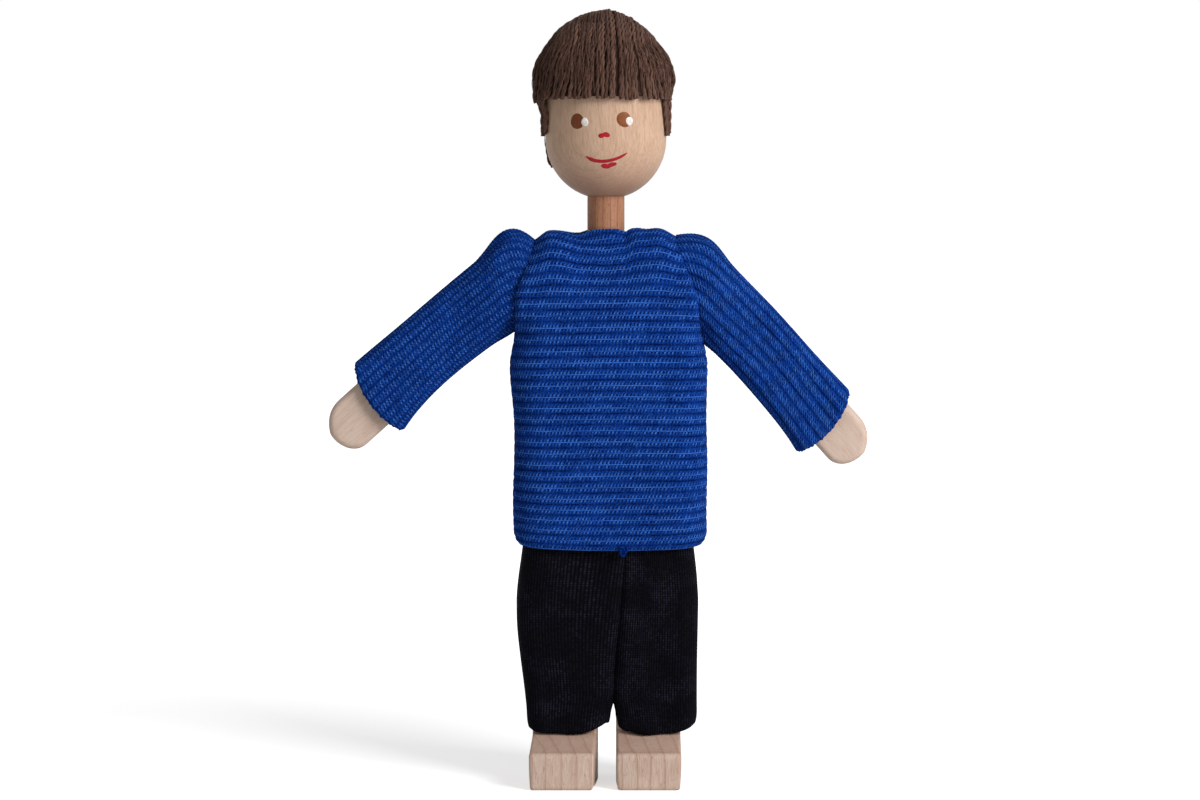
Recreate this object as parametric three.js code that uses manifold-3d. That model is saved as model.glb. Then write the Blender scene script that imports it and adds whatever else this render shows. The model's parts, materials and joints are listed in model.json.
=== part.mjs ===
import * as THREE from 'three';
import { mergeVertices } from 'three/addons/utils/BufferGeometryUtils.js';
import Module from 'manifold-3d';

const wasm = await Module();
wasm.setup();

// A dressed wooden doll for a doll's house, standing with its arms held out.
// Millimetres, Z up, face towards -Y, soles on Z = 0. Left and right are the doll's own.

// Driving dimensions: the wooden figure
const clearance = 0.3;            // gap between pieces that touch or turn on each other
const pinRecess = 1;              // how far pin ends lie below the wood

const legWidth = 13;
const legDepth = 11;
const hipHeight = 41;             // hip pin axis above the soles
const footLength = 20;
const toeHeight = 7.6;
const instepHeight = 10.6;        // top of the foot where it meets the shin
const heelRadius = 2;
const toeRadius = 1.6;
const legEdge = 0.6;              // softened edges of a leg

const hipPinDiameter = 4;
const hipTongueThickness = 3.6;
const hipTongueRadius = 5.2;      // wood around the hip pin

const torsoLength = 62.8;
const torsoHipWidth = 30;
const torsoDepth = 14;
const torsoCorner = 2;            // radius of the torso's upright corners
const torsoTopRound = 4;          // radius over the shoulders

const neckDiameter = 7.5;
const neckShown = 8.6;            // from the torso's top to the chin
const neckSeatInTorso = 12;
const neckSeatInHead = 14;

const headDiameter = 24.4;
const headHeight = 36.4;
const hairThickness = 1.5;
const fringeAboveChin = 20.4;     // trimmed edge of the fringe
const lockAboveChin = 13.2;       // lower end of the side locks
const napeAboveChin = 7;          // lower edge of the back hair
const lockFront = 1.5;            // side locks reach this far before the head's middle
const lockBack = 4;               // and this far behind it

const shoulderDrop = 8.3;         // shoulder axis below the torso's top
const shoulderSpan = 40;          // between the two arm pins
const pegStub = 1.2;              // peg's shaft showing between the torso and the arm
const pegDiameter = 5;
const pegWall = 1.5;              // wood left between a peg's bore and the neck's bore
const grooveDiameter = 3.2;       // keeper groove in the peg
const keeperDiameter = 1.2;
const keeperPast = 3;             // keeper pins reach this far behind the peg's axis
const tongueThickness = 2.6;      // shoulder tongue inside the arm's fork
const tongueRadius = 4;
const armPinDiameter = 2;

const armWidth = 10.4;
const armThickness = 7;
const armReach = 45.8;            // arm pin to fingertips
const fingerBulge = 2.2;          // rise of the hand's domed end
const innerHandCorner = 2;
const outerHandCorner = 4;
const armEdge = 0.8;
const armAngle = { left: 46.5, right: 43 };   // degrees below level

// Driving dimensions: the clothes
const trouserWall = 1.2;
const trouserEase = 1.7;          // room beside the legs
const trouserDepthEase = 1.6;     // room before and behind the legs
const trouserCorner = 3.2;
const trouserHem = 11;            // height of the trouser hems
const hemDrawIn = 0.8;            // how much the hems draw in
const hemCurve = 3;               // height of the drawn-in part
const waistAboveTorso = 13.2;     // trouser top above the torso's lower end
const waistEase = 1;
const waistDepthEase = 0.6;
const waistbandHeight = 3;
const creaseWidth = 1.6;          // upright crease between the trouser halves
const creaseDepth = 0.5;

const sweaterWall = 1.2;
const sweaterEase = 1.2;          // room over the trousers' waist
const sweaterDepthEase = 0.6;
const sweaterCorner = 6.5;
const sweaterHemAboveHip = 8.2;
const roofRise = 0.6;             // cloth above the torso's top
const archHeight = 16;            // the front and back lean in over this height
const archSquareness = 3.2;
const necklineWidth = 1.8;        // rolled edge around the neck
const necklineRise = 1;
const armholeFromPin = 3.5;       // armhole seam this far inside the arm pin
const armholeMargin = 0.1;
const armholeFlare = 1.07;        // underarm opens by this much for each millimetre outward

const sleeveWall = 1;
const sleeveWidth = 16;
const sleeveDepth = 11.5;
const sleeveCorner = 3.4;
const sleeveCap = 6;              // rounded cap ends this far past the arm pin
const sleevePuff = 2;
const sleeveReach = { left: 36.6, right: 35.3 };
const sleeveSag = { left: 1.2, right: 0.2 };

// Places worked out from the driving dimensions
const sides = { left: 1, right: -1 };
const halfDepth = legDepth / 2;
const legInner = hipTongueThickness / 2 + clearance;
const legOuter = legInner + legWidth;
const torsoBottom = hipHeight + halfDepth + clearance;
const torsoTop = torsoBottom + torsoLength;
const chin = torsoTop + neckShown;
const headRadius = headDiameter / 2;
const crown = chin + headHeight;
const shoulderHeight = torsoTop - shoulderDrop;
const pinX = shoulderSpan / 2;
const torsoSide = pinX - armWidth / 2 - clearance - pegStub - clearance;
const pegInner = neckDiameter / 2 + clearance + pegWall + clearance;
const grooveX = (pegInner + torsoSide) / 2;
const keeperHeight = shoulderHeight + grooveDiameter / 2 + clearance + keeperDiameter / 2;
const trouserSplit = hipHeight - hipTongueRadius - clearance;
const waistTop = torsoBottom + waistAboveTorso;
const seatHalfWidth = legOuter + trouserEase + trouserWall;
const seatHalfDepth = halfDepth + trouserDepthEase + trouserWall;
const waistHalfWidth = torsoHipWidth / 2 + waistEase + trouserWall;
const waistHalfDepth = torsoDepth / 2 + waistDepthEase + trouserWall;
const sweaterHem = hipHeight + sweaterHemAboveHip;
const sweaterHalfWidth = waistHalfWidth + sweaterEase + sweaterWall;
const sweaterHalfDepth = waistHalfDepth + sweaterDepthEase + sweaterWall;
const sweaterTop = torsoTop + roofRise + sweaterWall;
const armholeX = pinX - armholeFromPin;
const armholeRadius = Math.max(sweaterHalfDepth, sweaterTop - shoulderHeight) + armholeMargin;

// The torso tapers evenly from the hips to its side below the shoulder pegs.
function torsoHalfWidth(height) {
  const share = (height - torsoBottom) / (shoulderHeight - tongueRadius - torsoBottom);
  return THREE.MathUtils.lerp(torsoHipWidth / 2, torsoSide, share);
}

// Materials, one for each piece
const finish = (color, roughness) => new THREE.MeshStandardMaterial({ color, roughness, metalness: 0 });
const paleWood = () => finish(0xd2b496, 0.6);
const brownWood = () => finish(0xad7c5a, 0.65);
const darkYarn = () => finish(0x4b382e, 0.9);
const blueKnit = () => finish(0x1a4aa6, 0.95);
const blackJersey = () => finish(0x15131a, 0.95);

const doll = new THREE.Group();

// Solids
const mergeDistance = 1e-4;
const roundSteps = 24;

function solidOf(geometry) {
  geometry.deleteAttribute('normal');
  geometry.deleteAttribute('uv');
  const merged = mergeVertices(geometry, mergeDistance);
  const corners = merged.index.array;
  const kept = [];
  for (let i = 0; i < corners.length; i += 3) {
    const [a, b, c] = corners.subarray(i, i + 3);
    if (a !== b && b !== c && c !== a) kept.push(a, b, c);
  }
  return new wasm.Manifold(new wasm.Mesh({
    numProp: 3,
    vertProperties: new Float32Array(merged.attributes.position.array),
    triVerts: new Uint32Array(kept),
  }));
}

function addPiece(parent, name, shape, material) {
  const { vertProperties, triVerts } = shape.getMesh();
  const geometry = new THREE.BufferGeometry();
  geometry.setAttribute('position', new THREE.BufferAttribute(new Float32Array(vertProperties), 3));
  geometry.setIndex(new THREE.BufferAttribute(new Uint32Array(triVerts), 1));
  geometry.computeVertexNormals();
  const mesh = new THREE.Mesh(geometry, material);
  mesh.name = name;
  parent.add(mesh);
}

function box(low, high) {
  const size = high.map((value, axis) => value - low[axis]);
  const middle = high.map((value, axis) => (value + low[axis]) / 2);
  return solidOf(new THREE.BoxGeometry(...size).translate(...middle));
}

// A round rod along one axis, from one end to the other, through a point across that axis.
function rod(axis, diameter, from, to, across) {
  const geometry = new THREE.CylinderGeometry(diameter / 2, diameter / 2, Math.abs(to - from), roundSteps);
  const middle = (from + to) / 2;
  if (axis === 'x') geometry.rotateZ(Math.PI / 2).translate(middle, across[0], across[1]);
  if (axis === 'y') geometry.translate(across[0], middle, across[1]);
  if (axis === 'z') geometry.rotateX(Math.PI / 2).translate(across[0], across[1], middle);
  return solidOf(geometry);
}

// A shape drawn in Y and Z, drawn out along X with softened edges.
function drawnOutAlongX(shape, from, to, edge) {
  const geometry = new THREE.ExtrudeGeometry(shape, {
    depth: to - from - 2 * edge,
    curveSegments: 8,
    bevelEnabled: edge > 0,
    bevelThickness: edge,
    bevelSize: edge,
    bevelOffset: -edge,
    bevelSegments: 2,
  });
  const turn = new THREE.Matrix4().makeBasis(
    new THREE.Vector3(0, 1, 0), new THREE.Vector3(0, 0, 1), new THREE.Vector3(1, 0, 0));
  return solidOf(geometry.applyMatrix4(turn).translate(from + edge, 0, 0));
}

// Points of a rectangle with rounded corners, counter-clockwise, as pairs.
function roundedRectangle(halfWidth, halfHeight, radius, steps) {
  const corner = Math.min(radius, halfWidth, halfHeight);
  const points = [];
  for (let quarter = 0; quarter < 4; quarter += 1) {
    const right = quarter === 0 || quarter === 3 ? 1 : -1;
    const upper = quarter < 2 ? 1 : -1;
    for (let step = 0; step <= steps; step += 1) {
      const angle = (quarter + step / steps) * Math.PI / 2;
      points.push([
        right * (halfWidth - corner) + corner * Math.cos(angle),
        upper * (halfHeight - corner) + corner * Math.sin(angle),
      ]);
    }
  }
  return points;
}

// A closed skin over rings of equal count, each counter-clockwise about the way of travel.
function loft(rings) {
  const count = rings[0].length;
  const points = rings.flat();
  const triangles = [];
  for (let ring = 0; ring + 1 < rings.length; ring += 1) {
    for (let i = 0; i < count; i += 1) {
      const next = (i + 1) % count;
      const [a, b] = [ring * count + i, ring * count + next];
      triangles.push(a, b, b + count, a, b + count, a + count);
    }
  }
  const last = (rings.length - 1) * count;
  const middleOf = (ring) => ring.reduce((sum, point) => sum.add(point), new THREE.Vector3())
    .divideScalar(count);
  points.push(middleOf(rings[0]), middleOf(rings.at(-1)));
  for (let i = 0; i < count; i += 1) {
    const next = (i + 1) % count;
    triangles.push(points.length - 2, next, i, points.length - 1, last + i, last + next);
  }
  const geometry = new THREE.BufferGeometry().setFromPoints(points);
  geometry.setIndex(triangles);
  return solidOf(geometry);
}

// A level ring of the given size at a height.
function levelRing({ height, halfWidth, halfDepth: depth, corner, x = 0 }, steps = 6) {
  return roundedRectangle(halfWidth, depth, corner, steps)
    .map(([across, along]) => new THREE.Vector3(x + across, along, height));
}

const shrunk = (ring, wall) => ({
  ...ring,
  halfWidth: ring.halfWidth - wall,
  halfDepth: ring.halfDepth - wall,
  corner: Math.max(ring.corner - wall, wall / 2),
});

// Legs with their feet
function legOutline() {
  const toe = halfDepth - footLength;
  const outline = new THREE.Shape();
  outline.moveTo(halfDepth - heelRadius, 0);
  outline.absarc(halfDepth - heelRadius, heelRadius, heelRadius, -Math.PI / 2, 0);
  outline.absarc(0, hipHeight, halfDepth, 0, Math.PI);
  outline.lineTo(-halfDepth, instepHeight);
  outline.lineTo(toe + toeRadius, toeHeight);
  outline.quadraticCurveTo(toe, toeHeight, toe, toeHeight - toeRadius);
  outline.lineTo(toe, legEdge);
  outline.lineTo(toe + legEdge, 0);
  outline.closePath();
  return outline;
}

const hipBore = (reach) => rod('x', hipPinDiameter + 2 * clearance, -reach, reach, [0, hipHeight]);

for (const [name, side] of Object.entries(sides)) {
  const [from, to] = side > 0 ? [legInner, legOuter] : [-legOuter, -legInner];
  const leg = drawnOutAlongX(legOutline(), from, to, legEdge).subtract(hipBore(legOuter + pinRecess));
  addPiece(doll, `${name}_leg`, leg, paleWood());
}

const hipPinEnd = legOuter - pinRecess;
addPiece(doll, 'hip_pin', rod('x', hipPinDiameter, -hipPinEnd, hipPinEnd, [0, hipHeight]), brownWood());

// Torso block with its hip tongue and bores
function torsoRing(height, draw) {
  return levelRing({
    height,
    halfWidth: torsoHalfWidth(height) - draw,
    halfDepth: torsoDepth / 2 - draw,
    corner: torsoCorner,
  }, 3);
}

function torsoBlock() {
  const rings = [torsoRing(torsoBottom, 0)];
  const roundStart = torsoTop - torsoTopRound;
  const steps = 4;
  for (let step = 0; step <= steps; step += 1) {
    const angle = step / steps * Math.PI / 2;
    const rise = torsoTopRound * Math.sin(angle);
    rings.push(torsoRing(roundStart + rise, torsoTopRound * (1 - Math.cos(angle))));
  }
  return loft(rings);
}

function hipTongue() {
  const outline = new THREE.Shape();
  outline.moveTo(hipTongueRadius, torsoBottom + hipTongueThickness);
  outline.lineTo(-hipTongueRadius, torsoBottom + hipTongueThickness);
  outline.absarc(0, hipHeight, hipTongueRadius, Math.PI, 2 * Math.PI);
  outline.closePath();
  return drawnOutAlongX(outline, -hipTongueThickness / 2, hipTongueThickness / 2, 0);
}

function neckRod(grow, from, to) {
  return rod('z', neckDiameter + 2 * grow, from, to, [0, 0]);
}

function keeperRod(side, grow, front) {
  const diameter = keeperDiameter + 2 * grow;
  return rod('y', diameter, front, keeperPast + grow, [side * grooveX, keeperHeight]);
}

function boredTorso() {
  let torso = torsoBlock().add(hipTongue()).subtract(hipBore(hipTongueThickness));
  torso = torso.subtract(neckRod(clearance, torsoTop - neckSeatInTorso - clearance, torsoTop + 1));
  for (const side of Object.values(sides)) {
    const boreDiameter = pegDiameter + 2 * clearance;
    const innerEnd = side * (pegInner - clearance);
    const outerEnd = side * (torsoSide + 1);
    torso = torso.subtract(rod('x', boreDiameter, innerEnd, outerEnd, [0, shoulderHeight]));
    torso = torso.subtract(keeperRod(side, clearance, -torsoDepth));
  }
  return torso;
}

addPiece(doll, 'torso', boredTorso(), paleWood());

// Neck and head
const neckEnds = [torsoTop - neckSeatInTorso, chin + neckSeatInHead];
addPiece(doll, 'neck_dowel', neckRod(0, ...neckEnds), brownWood());

// The head's egg, grown outward by an offset: two half balls with a straight stretch between.
function egg(offset) {
  const radius = headRadius + offset;
  const profile = new THREE.Path();
  profile.absarc(0, chin + headRadius, radius, -Math.PI / 2, 0);
  profile.absarc(0, crown - headRadius, radius, 0, Math.PI / 2);
  return solidOf(new THREE.LatheGeometry(profile.getPoints(5), 32).rotateX(Math.PI / 2));
}

const headBore = neckRod(clearance, chin - neckShown, chin + neckSeatInHead + clearance);
addPiece(doll, 'head', egg(0).subtract(headBore), paleWood());

// Hair as four parts of one shell around the head
const hairShell = egg(clearance + hairThickness).subtract(egg(clearance));
const reach = headDiameter;
const seam = clearance / 2;
const fringeEdge = chin + fringeAboveChin;
const capFront = box([-reach, -reach, fringeEdge], [reach, -seam, crown + reach]);
const capBack = box([-reach, seam, fringeEdge], [reach, reach, crown + reach]);
const curtainFront = lockBack + clearance;
const curtain = box([-reach, curtainFront, chin + napeAboveChin], [reach, reach, fringeEdge + clearance]);
addPiece(doll, 'hair_fringe', hairShell.intersect(capFront), darkYarn());
addPiece(doll, 'hair_back', hairShell.intersect(capBack.add(curtain)), darkYarn());
for (const [name, side] of Object.entries(sides)) {
  const [from, to] = side > 0 ? [0, reach] : [-reach, 0];
  const zone = box([from, -lockFront, chin + lockAboveChin], [to, lockBack, fringeEdge - clearance]);
  addPiece(doll, `hair_${name}_lock`, hairShell.intersect(zone), darkYarn());
}

// Shoulder pegs, their keepers, and the arms on their pins
function shoulderPeg(side) {
  const radius = pegDiameter / 2;
  const groove = grooveDiameter / 2;
  const halfGroove = keeperDiameter / 2 + clearance;
  const tongueStart = torsoSide + clearance;
  const shaftEnd = tongueStart + pegStub;
  const profile = [
    [0, pegInner], [radius, pegInner],
    [radius, grooveX - halfGroove], [groove, grooveX - halfGroove],
    [groove, grooveX + halfGroove], [radius, grooveX + halfGroove],
    [radius, shaftEnd], [0, shaftEnd],
  ].map(([out, along]) => new THREE.Vector2(out, along));
  const shaft = new THREE.LatheGeometry(profile, roundSteps).rotateZ(-side * Math.PI / 2);
  const half = tongueThickness / 2;
  const ends = [side * tongueStart, side * pinX].sort((a, b) => a - b);
  const low = [ends[0], -half, shoulderHeight - tongueRadius];
  const high = [ends[1], half, shoulderHeight + tongueRadius];
  const eye = rod('y', 2 * tongueRadius, -half, half, [side * pinX, shoulderHeight]);
  const bore = rod('y', armPinDiameter + 2 * clearance, -armThickness, armThickness,
    [side * pinX, shoulderHeight]);
  return solidOf(shaft.translate(0, 0, shoulderHeight)).add(box(low, high)).add(eye).subtract(bore);
}

// Arm drawn along its length from the pin at the origin, thickness along the third axis.
// The hand ends in a parabola, whose corners are rounded off.
function armOutline() {
  const half = armWidth / 2;
  const palmEnd = armReach - fingerBulge;
  const [low, high] = [innerHandCorner - half, half - outerHandCorner];
  const curve = fingerBulge / half ** 2;
  const tip = (across) => armReach - curve * across ** 2;
  const outline = new THREE.Shape();
  outline.moveTo(0, half);
  outline.absarc(0, 0, half, Math.PI / 2, 3 * Math.PI / 2);
  outline.lineTo(palmEnd - innerHandCorner, -half);
  outline.quadraticCurveTo(palmEnd, -half, tip(low), low);
  outline.quadraticCurveTo(armReach - curve * low * high, (low + high) / 2, tip(high), high);
  outline.quadraticCurveTo(palmEnd, half, palmEnd - outerHandCorner, half);
  outline.closePath();
  return outline;
}

function arm() {
  const half = armThickness / 2;
  const slat = new THREE.ExtrudeGeometry(armOutline(), {
    depth: armThickness - 2 * armEdge,
    curveSegments: 8,
    bevelThickness: armEdge,
    bevelSize: armEdge,
    bevelOffset: -armEdge,
    bevelSegments: 2,
  });
  const slotHalf = tongueThickness / 2 + clearance;
  const slot = box([-armWidth, -armWidth, -slotHalf], [tongueRadius + clearance, armWidth, slotHalf]);
  const bore = rod('z', armPinDiameter + 2 * clearance, -armThickness, armThickness, [0, 0]);
  return solidOf(slat.translate(0, 0, armEdge - half)).subtract(slot).subtract(bore);
}

// Directions of one arm at an angle below level: along it, across it, and through its thickness.
function armDirections(side, degrees) {
  const angle = THREE.MathUtils.degToRad(degrees);
  return {
    along: new THREE.Vector3(side * Math.cos(angle), 0, -Math.sin(angle)),
    across: new THREE.Vector3(side * Math.sin(angle), 0, Math.cos(angle)),
    through: new THREE.Vector3(0, -side, 0),
  };
}

for (const [name, side] of Object.entries(sides)) {
  addPiece(doll, `${name}_shoulder_peg`, shoulderPeg(side), brownWood());
  addPiece(doll, `${name}_peg_keeper`, keeperRod(side, 0, pinRecess - torsoDepth / 2), brownWood());
  const { along, across, through } = armDirections(side, armAngle[name]);
  const armGroup = new THREE.Group();
  armGroup.position.set(side * pinX, 0, shoulderHeight);
  armGroup.setRotationFromMatrix(new THREE.Matrix4().makeBasis(along, across, through));
  doll.add(armGroup);
  addPiece(armGroup, `${name}_arm`, arm(), paleWood());
  const pinEnd = armThickness / 2 - pinRecess;
  addPiece(armGroup, `${name}_shoulder_pin`, rod('z', armPinDiameter, -pinEnd, pinEnd, [0, 0]), brownWood());
}

// Trousers: a seat, two legs and the waistband
const seatRings = [
  { height: trouserSplit + clearance, halfWidth: seatHalfWidth, halfDepth: seatHalfDepth },
  { height: waistTop, halfWidth: waistHalfWidth, halfDepth: waistHalfDepth },
].map((ring) => ({ ...ring, corner: trouserCorner }));

// A hollow tube open at both ends: an outer skin less an inner one that runs past it.
function openTube(rings, wall) {
  const inner = rings.map((ring) => shrunk(ring, wall));
  const first = { ...inner[0], height: inner[0].height - wall };
  const last = { ...inner.at(-1), height: inner.at(-1).height + wall };
  const skin = loft(rings.map((ring) => levelRing(ring)));
  return skin.subtract(loft([first, ...inner, last].map((ring) => levelRing(ring))));
}

// Shallow V-shaped creases down the middle, front and back.
function creases() {
  const front = Math.max(seatHalfDepth, waistHalfDepth);
  const depthAtSplit = front - seatHalfDepth + creaseDepth;
  const outline = new THREE.Shape();
  outline.moveTo(-creaseWidth / 2, 0);
  outline.lineTo(0, depthAtSplit);
  outline.lineTo(creaseWidth / 2, 0);
  outline.closePath();
  const height = sweaterHem - trouserSplit;
  const wedge = () => new THREE.ExtrudeGeometry(outline, { depth: height, bevelEnabled: false });
  const frontWedge = solidOf(wedge().translate(0, -front, trouserSplit));
  return frontWedge.add(solidOf(wedge().rotateZ(Math.PI).translate(0, front, trouserSplit)));
}

addPiece(doll, 'trousers_seat', openTube(seatRings, trouserWall).subtract(creases()), blackJersey());

const legMiddle = (legInner - clearance + legOuter + trouserEase) / 2;
const legHalfWidth = legMiddle - (legInner - clearance) + trouserWall;
for (const [name, side] of Object.entries(sides)) {
  const full = {
    x: side * legMiddle, halfWidth: legHalfWidth, halfDepth: seatHalfDepth, corner: trouserCorner,
  };
  const hem = { ...full, halfWidth: legHalfWidth - hemDrawIn / 4, halfDepth: seatHalfDepth - hemDrawIn };
  const rings = [
    { ...hem, height: trouserHem },
    { ...full, height: trouserHem + hemCurve },
    { ...full, height: trouserSplit },
  ];
  addPiece(doll, `trousers_${name}_leg`, openTube(rings, trouserWall), blackJersey());
}

const bandRings = [0, waistbandHeight].map((rise) => (
  { ...seatRings[1], height: waistTop + clearance + rise }));
addPiece(doll, 'trousers_waistband', openTube(bandRings, trouserWall), blackJersey());

// Sweater body: a tube whose front and back lean together over the shoulders
function sweaterSkin(wall, hem) {
  const top = sweaterTop - wall;
  const archStart = torsoTop - archHeight;
  const power = 2 / archSquareness;
  const shape = shrunk({ halfWidth: sweaterHalfWidth, halfDepth: sweaterHalfDepth, corner: sweaterCorner }, wall);
  const rings = [levelRing({ ...shape, height: hem })];
  for (const degrees of [0, 15, 30, 45, 58, 70, 80]) {
    const angle = THREE.MathUtils.degToRad(degrees);
    rings.push(levelRing({
      ...shape,
      height: archStart + (top - archStart) * Math.sin(angle) ** power,
      halfDepth: shape.halfDepth * Math.cos(angle) ** power,
    }));
  }
  return loft(rings);
}

// The armhole: round about the shoulder axis, flaring at the underarm.
function armhole(side) {
  const end = sweaterHalfWidth + sweaterWall;
  const endRadius = armholeRadius + armholeFlare * (end - armholeX);
  const profile = [[0, armholeX], [armholeRadius, armholeX], [endRadius, end], [0, end]]
    .map(([out, along]) => new THREE.Vector2(out, along));
  const geometry = new THREE.LatheGeometry(profile, 2 * roundSteps).rotateZ(-side * Math.PI / 2);
  return solidOf(geometry.translate(0, 0, shoulderHeight));
}

// The rolled edge of the neckline, a ring with a rounded section.
function neckline() {
  const inner = neckDiameter / 2 + clearance;
  const middle = inner + necklineWidth / 2;
  const low = sweaterTop - sweaterWall;
  const centre = (low + sweaterTop + necklineRise) / 2;
  const section = roundedRectangle(necklineWidth / 2, sweaterTop + necklineRise - centre, necklineWidth / 2, 3)
    .map(([out, up]) => new THREE.Vector2(middle + out, centre + up));
  return solidOf(new THREE.LatheGeometry([...section, section[0]], roundSteps).rotateX(Math.PI / 2));
}

function sweaterBody() {
  let body = sweaterSkin(0, sweaterHem).subtract(sweaterSkin(sweaterWall, sweaterHem - sweaterWall));
  const neckHole = neckRod(clearance, torsoTop, sweaterTop + necklineRise + 1);
  body = body.add(neckline()).subtract(neckHole);
  for (const side of Object.values(sides)) body = body.subtract(armhole(side));
  return body;
}

const sweater = sweaterBody();
const wide = 2 * sweaterHalfWidth;
const tall = sweaterTop + wide;
const frontHalf = box([-wide, -wide, 0], [wide, -seam, tall]);
const backHalf = box([-wide, seam, 0], [wide, wide, tall]);
addPiece(doll, 'sweater_front', sweater.intersect(frontHalf), blueKnit());
addPiece(doll, 'sweater_back', sweater.intersect(backHalf), blueKnit());

// Sleeves: rings between an upper edge that rounds the cap and a straight lower edge
function sleeveRings(name, wall, past) {
  const side = sides[name];
  const { along, across, through } = armDirections(side, armAngle[name]);
  const half = sleeveWidth / 2;
  const ringRadius = armholeRadius - clearance;
  const pin = new THREE.Vector3(side * pinX, 0, shoulderHeight);
  const onSleeve = (reachAlong, rise) => pin.clone().addScaledVector(along, reachAlong).addScaledVector(across, rise);
  const start = new THREE.Vector3(side * (armholeX + clearance), 0, shoulderHeight);
  const startTop = start.clone().setZ(shoulderHeight + ringRadius);
  const startLow = start.clone().setZ(shoulderHeight - ringRadius);
  const bendReach = (half * across.z - ringRadius - sleevePuff) / -along.z;
  const cap = new THREE.QuadraticBezierCurve3(startTop, onSleeve(bendReach, half), onSleeve(sleeveCap, half));
  const end = sleeveReach[name];
  const endTop = onSleeve(end, half - sleeveSag[name]);
  const endLow = onSleeve(end, -half - sleeveSag[name]);
  const capShare = 0.1;
  const pairs = [];
  const capSteps = 5;
  for (let step = 0; step <= capSteps; step += 1) {
    const share = step / capSteps;
    pairs.push([cap.getPoint(share), startLow.clone().lerp(endLow, capShare * share), share * 0.8]);
  }
  const straightSteps = 3;
  const capEnd = pairs.at(-1);
  for (let step = 1; step <= straightSteps; step += 1) {
    const share = step / straightSteps;
    pairs.push([capEnd[0].clone().lerp(endTop, share), capEnd[1].clone().lerp(endLow, share), 1]);
  }
  if (past > 0) {
    const inward = new THREE.Vector3(-side * past, 0, 0);
    pairs.unshift([startTop.clone().add(inward), startLow.clone().add(inward), 0]);
    const outward = along.clone().multiplyScalar(past);
    pairs.push([endTop.clone().add(outward), endLow.clone().add(outward), 1]);
  }
  return pairs.map(([upper, lower, flat]) => {
    const middle = upper.clone().add(lower).divideScalar(2);
    const rise = upper.clone().sub(lower).normalize();
    const ring = shrunk({
      halfWidth: upper.distanceTo(lower) / 2,
      halfDepth: THREE.MathUtils.lerp(ringRadius, sleeveDepth / 2, flat),
      corner: THREE.MathUtils.lerp(ringRadius, sleeveCorner, flat),
    }, wall);
    return roundedRectangle(ring.halfWidth, ring.halfDepth, ring.corner, 6)
      .map(([up, out]) => middle.clone().addScaledVector(rise, up).addScaledVector(through, out));
  });
}

for (const name of Object.keys(sides)) {
  const sleeve = loft(sleeveRings(name, 0, 0)).subtract(loft(sleeveRings(name, sleeveWall, sleeveWall)));
  addPiece(doll, `${name}_sleeve`, sleeve, blueKnit());
}

export default doll;
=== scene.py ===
"""Looks of a small dressed wooden doll: turned and sawn wood, yarn hair, rib-knit sweater, jersey trousers.

Lengths inside the shape functions are millimetres. The face looks along -Y, and left is the doll's own
left, +X.
"""

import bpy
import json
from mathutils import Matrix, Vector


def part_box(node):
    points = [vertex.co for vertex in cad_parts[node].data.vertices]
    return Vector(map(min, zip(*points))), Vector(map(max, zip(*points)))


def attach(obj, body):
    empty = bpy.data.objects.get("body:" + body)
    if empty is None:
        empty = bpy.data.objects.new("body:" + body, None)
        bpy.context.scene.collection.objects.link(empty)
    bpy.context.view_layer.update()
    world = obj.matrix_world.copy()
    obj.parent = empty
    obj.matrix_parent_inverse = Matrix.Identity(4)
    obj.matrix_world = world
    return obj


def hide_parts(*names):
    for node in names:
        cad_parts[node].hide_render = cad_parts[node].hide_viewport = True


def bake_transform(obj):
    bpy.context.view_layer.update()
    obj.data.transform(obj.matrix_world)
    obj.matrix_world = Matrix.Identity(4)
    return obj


bl_info = {
    "name": "Dressed wooden doll",
    "version": (1, 0, 0),
    "blender": (4, 5, 0),
    "location": "3D View > Sidebar > Doll",
    "description": "Builds the wood, yarn hair and knitted clothes of a small doll around its solid model",
    "category": "Add Mesh",
}

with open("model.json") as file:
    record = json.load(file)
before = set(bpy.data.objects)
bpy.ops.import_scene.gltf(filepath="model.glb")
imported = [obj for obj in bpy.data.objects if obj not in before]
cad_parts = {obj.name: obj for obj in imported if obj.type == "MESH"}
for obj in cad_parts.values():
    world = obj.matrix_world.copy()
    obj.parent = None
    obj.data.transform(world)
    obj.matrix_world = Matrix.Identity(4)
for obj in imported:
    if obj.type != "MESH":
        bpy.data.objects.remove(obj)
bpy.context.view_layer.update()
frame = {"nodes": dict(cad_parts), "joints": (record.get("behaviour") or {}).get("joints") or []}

import json
import math

import bmesh
import bpy
import numpy as np
from bpy.props import FloatProperty, FloatVectorProperty, IntProperty, PointerProperty
from bpy.types import Operator, Panel, PropertyGroup
from mathutils import Vector

MM = 0.001
SIDES = {"left": 1, "right": -1}
FULL_TURN = 2 * np.pi


def node_box(node):
    """Lowest and highest corner of a solid node, in millimetres."""
    low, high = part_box(node)
    return np.array(low) / MM, np.array(high) / MM


def joint_place(name):
    """A joint's pivot, in millimetres."""
    joint = next(each for each in frame["joints"] if each["name"] == name)
    return np.array(joint["pos_m"]) / MM


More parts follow.
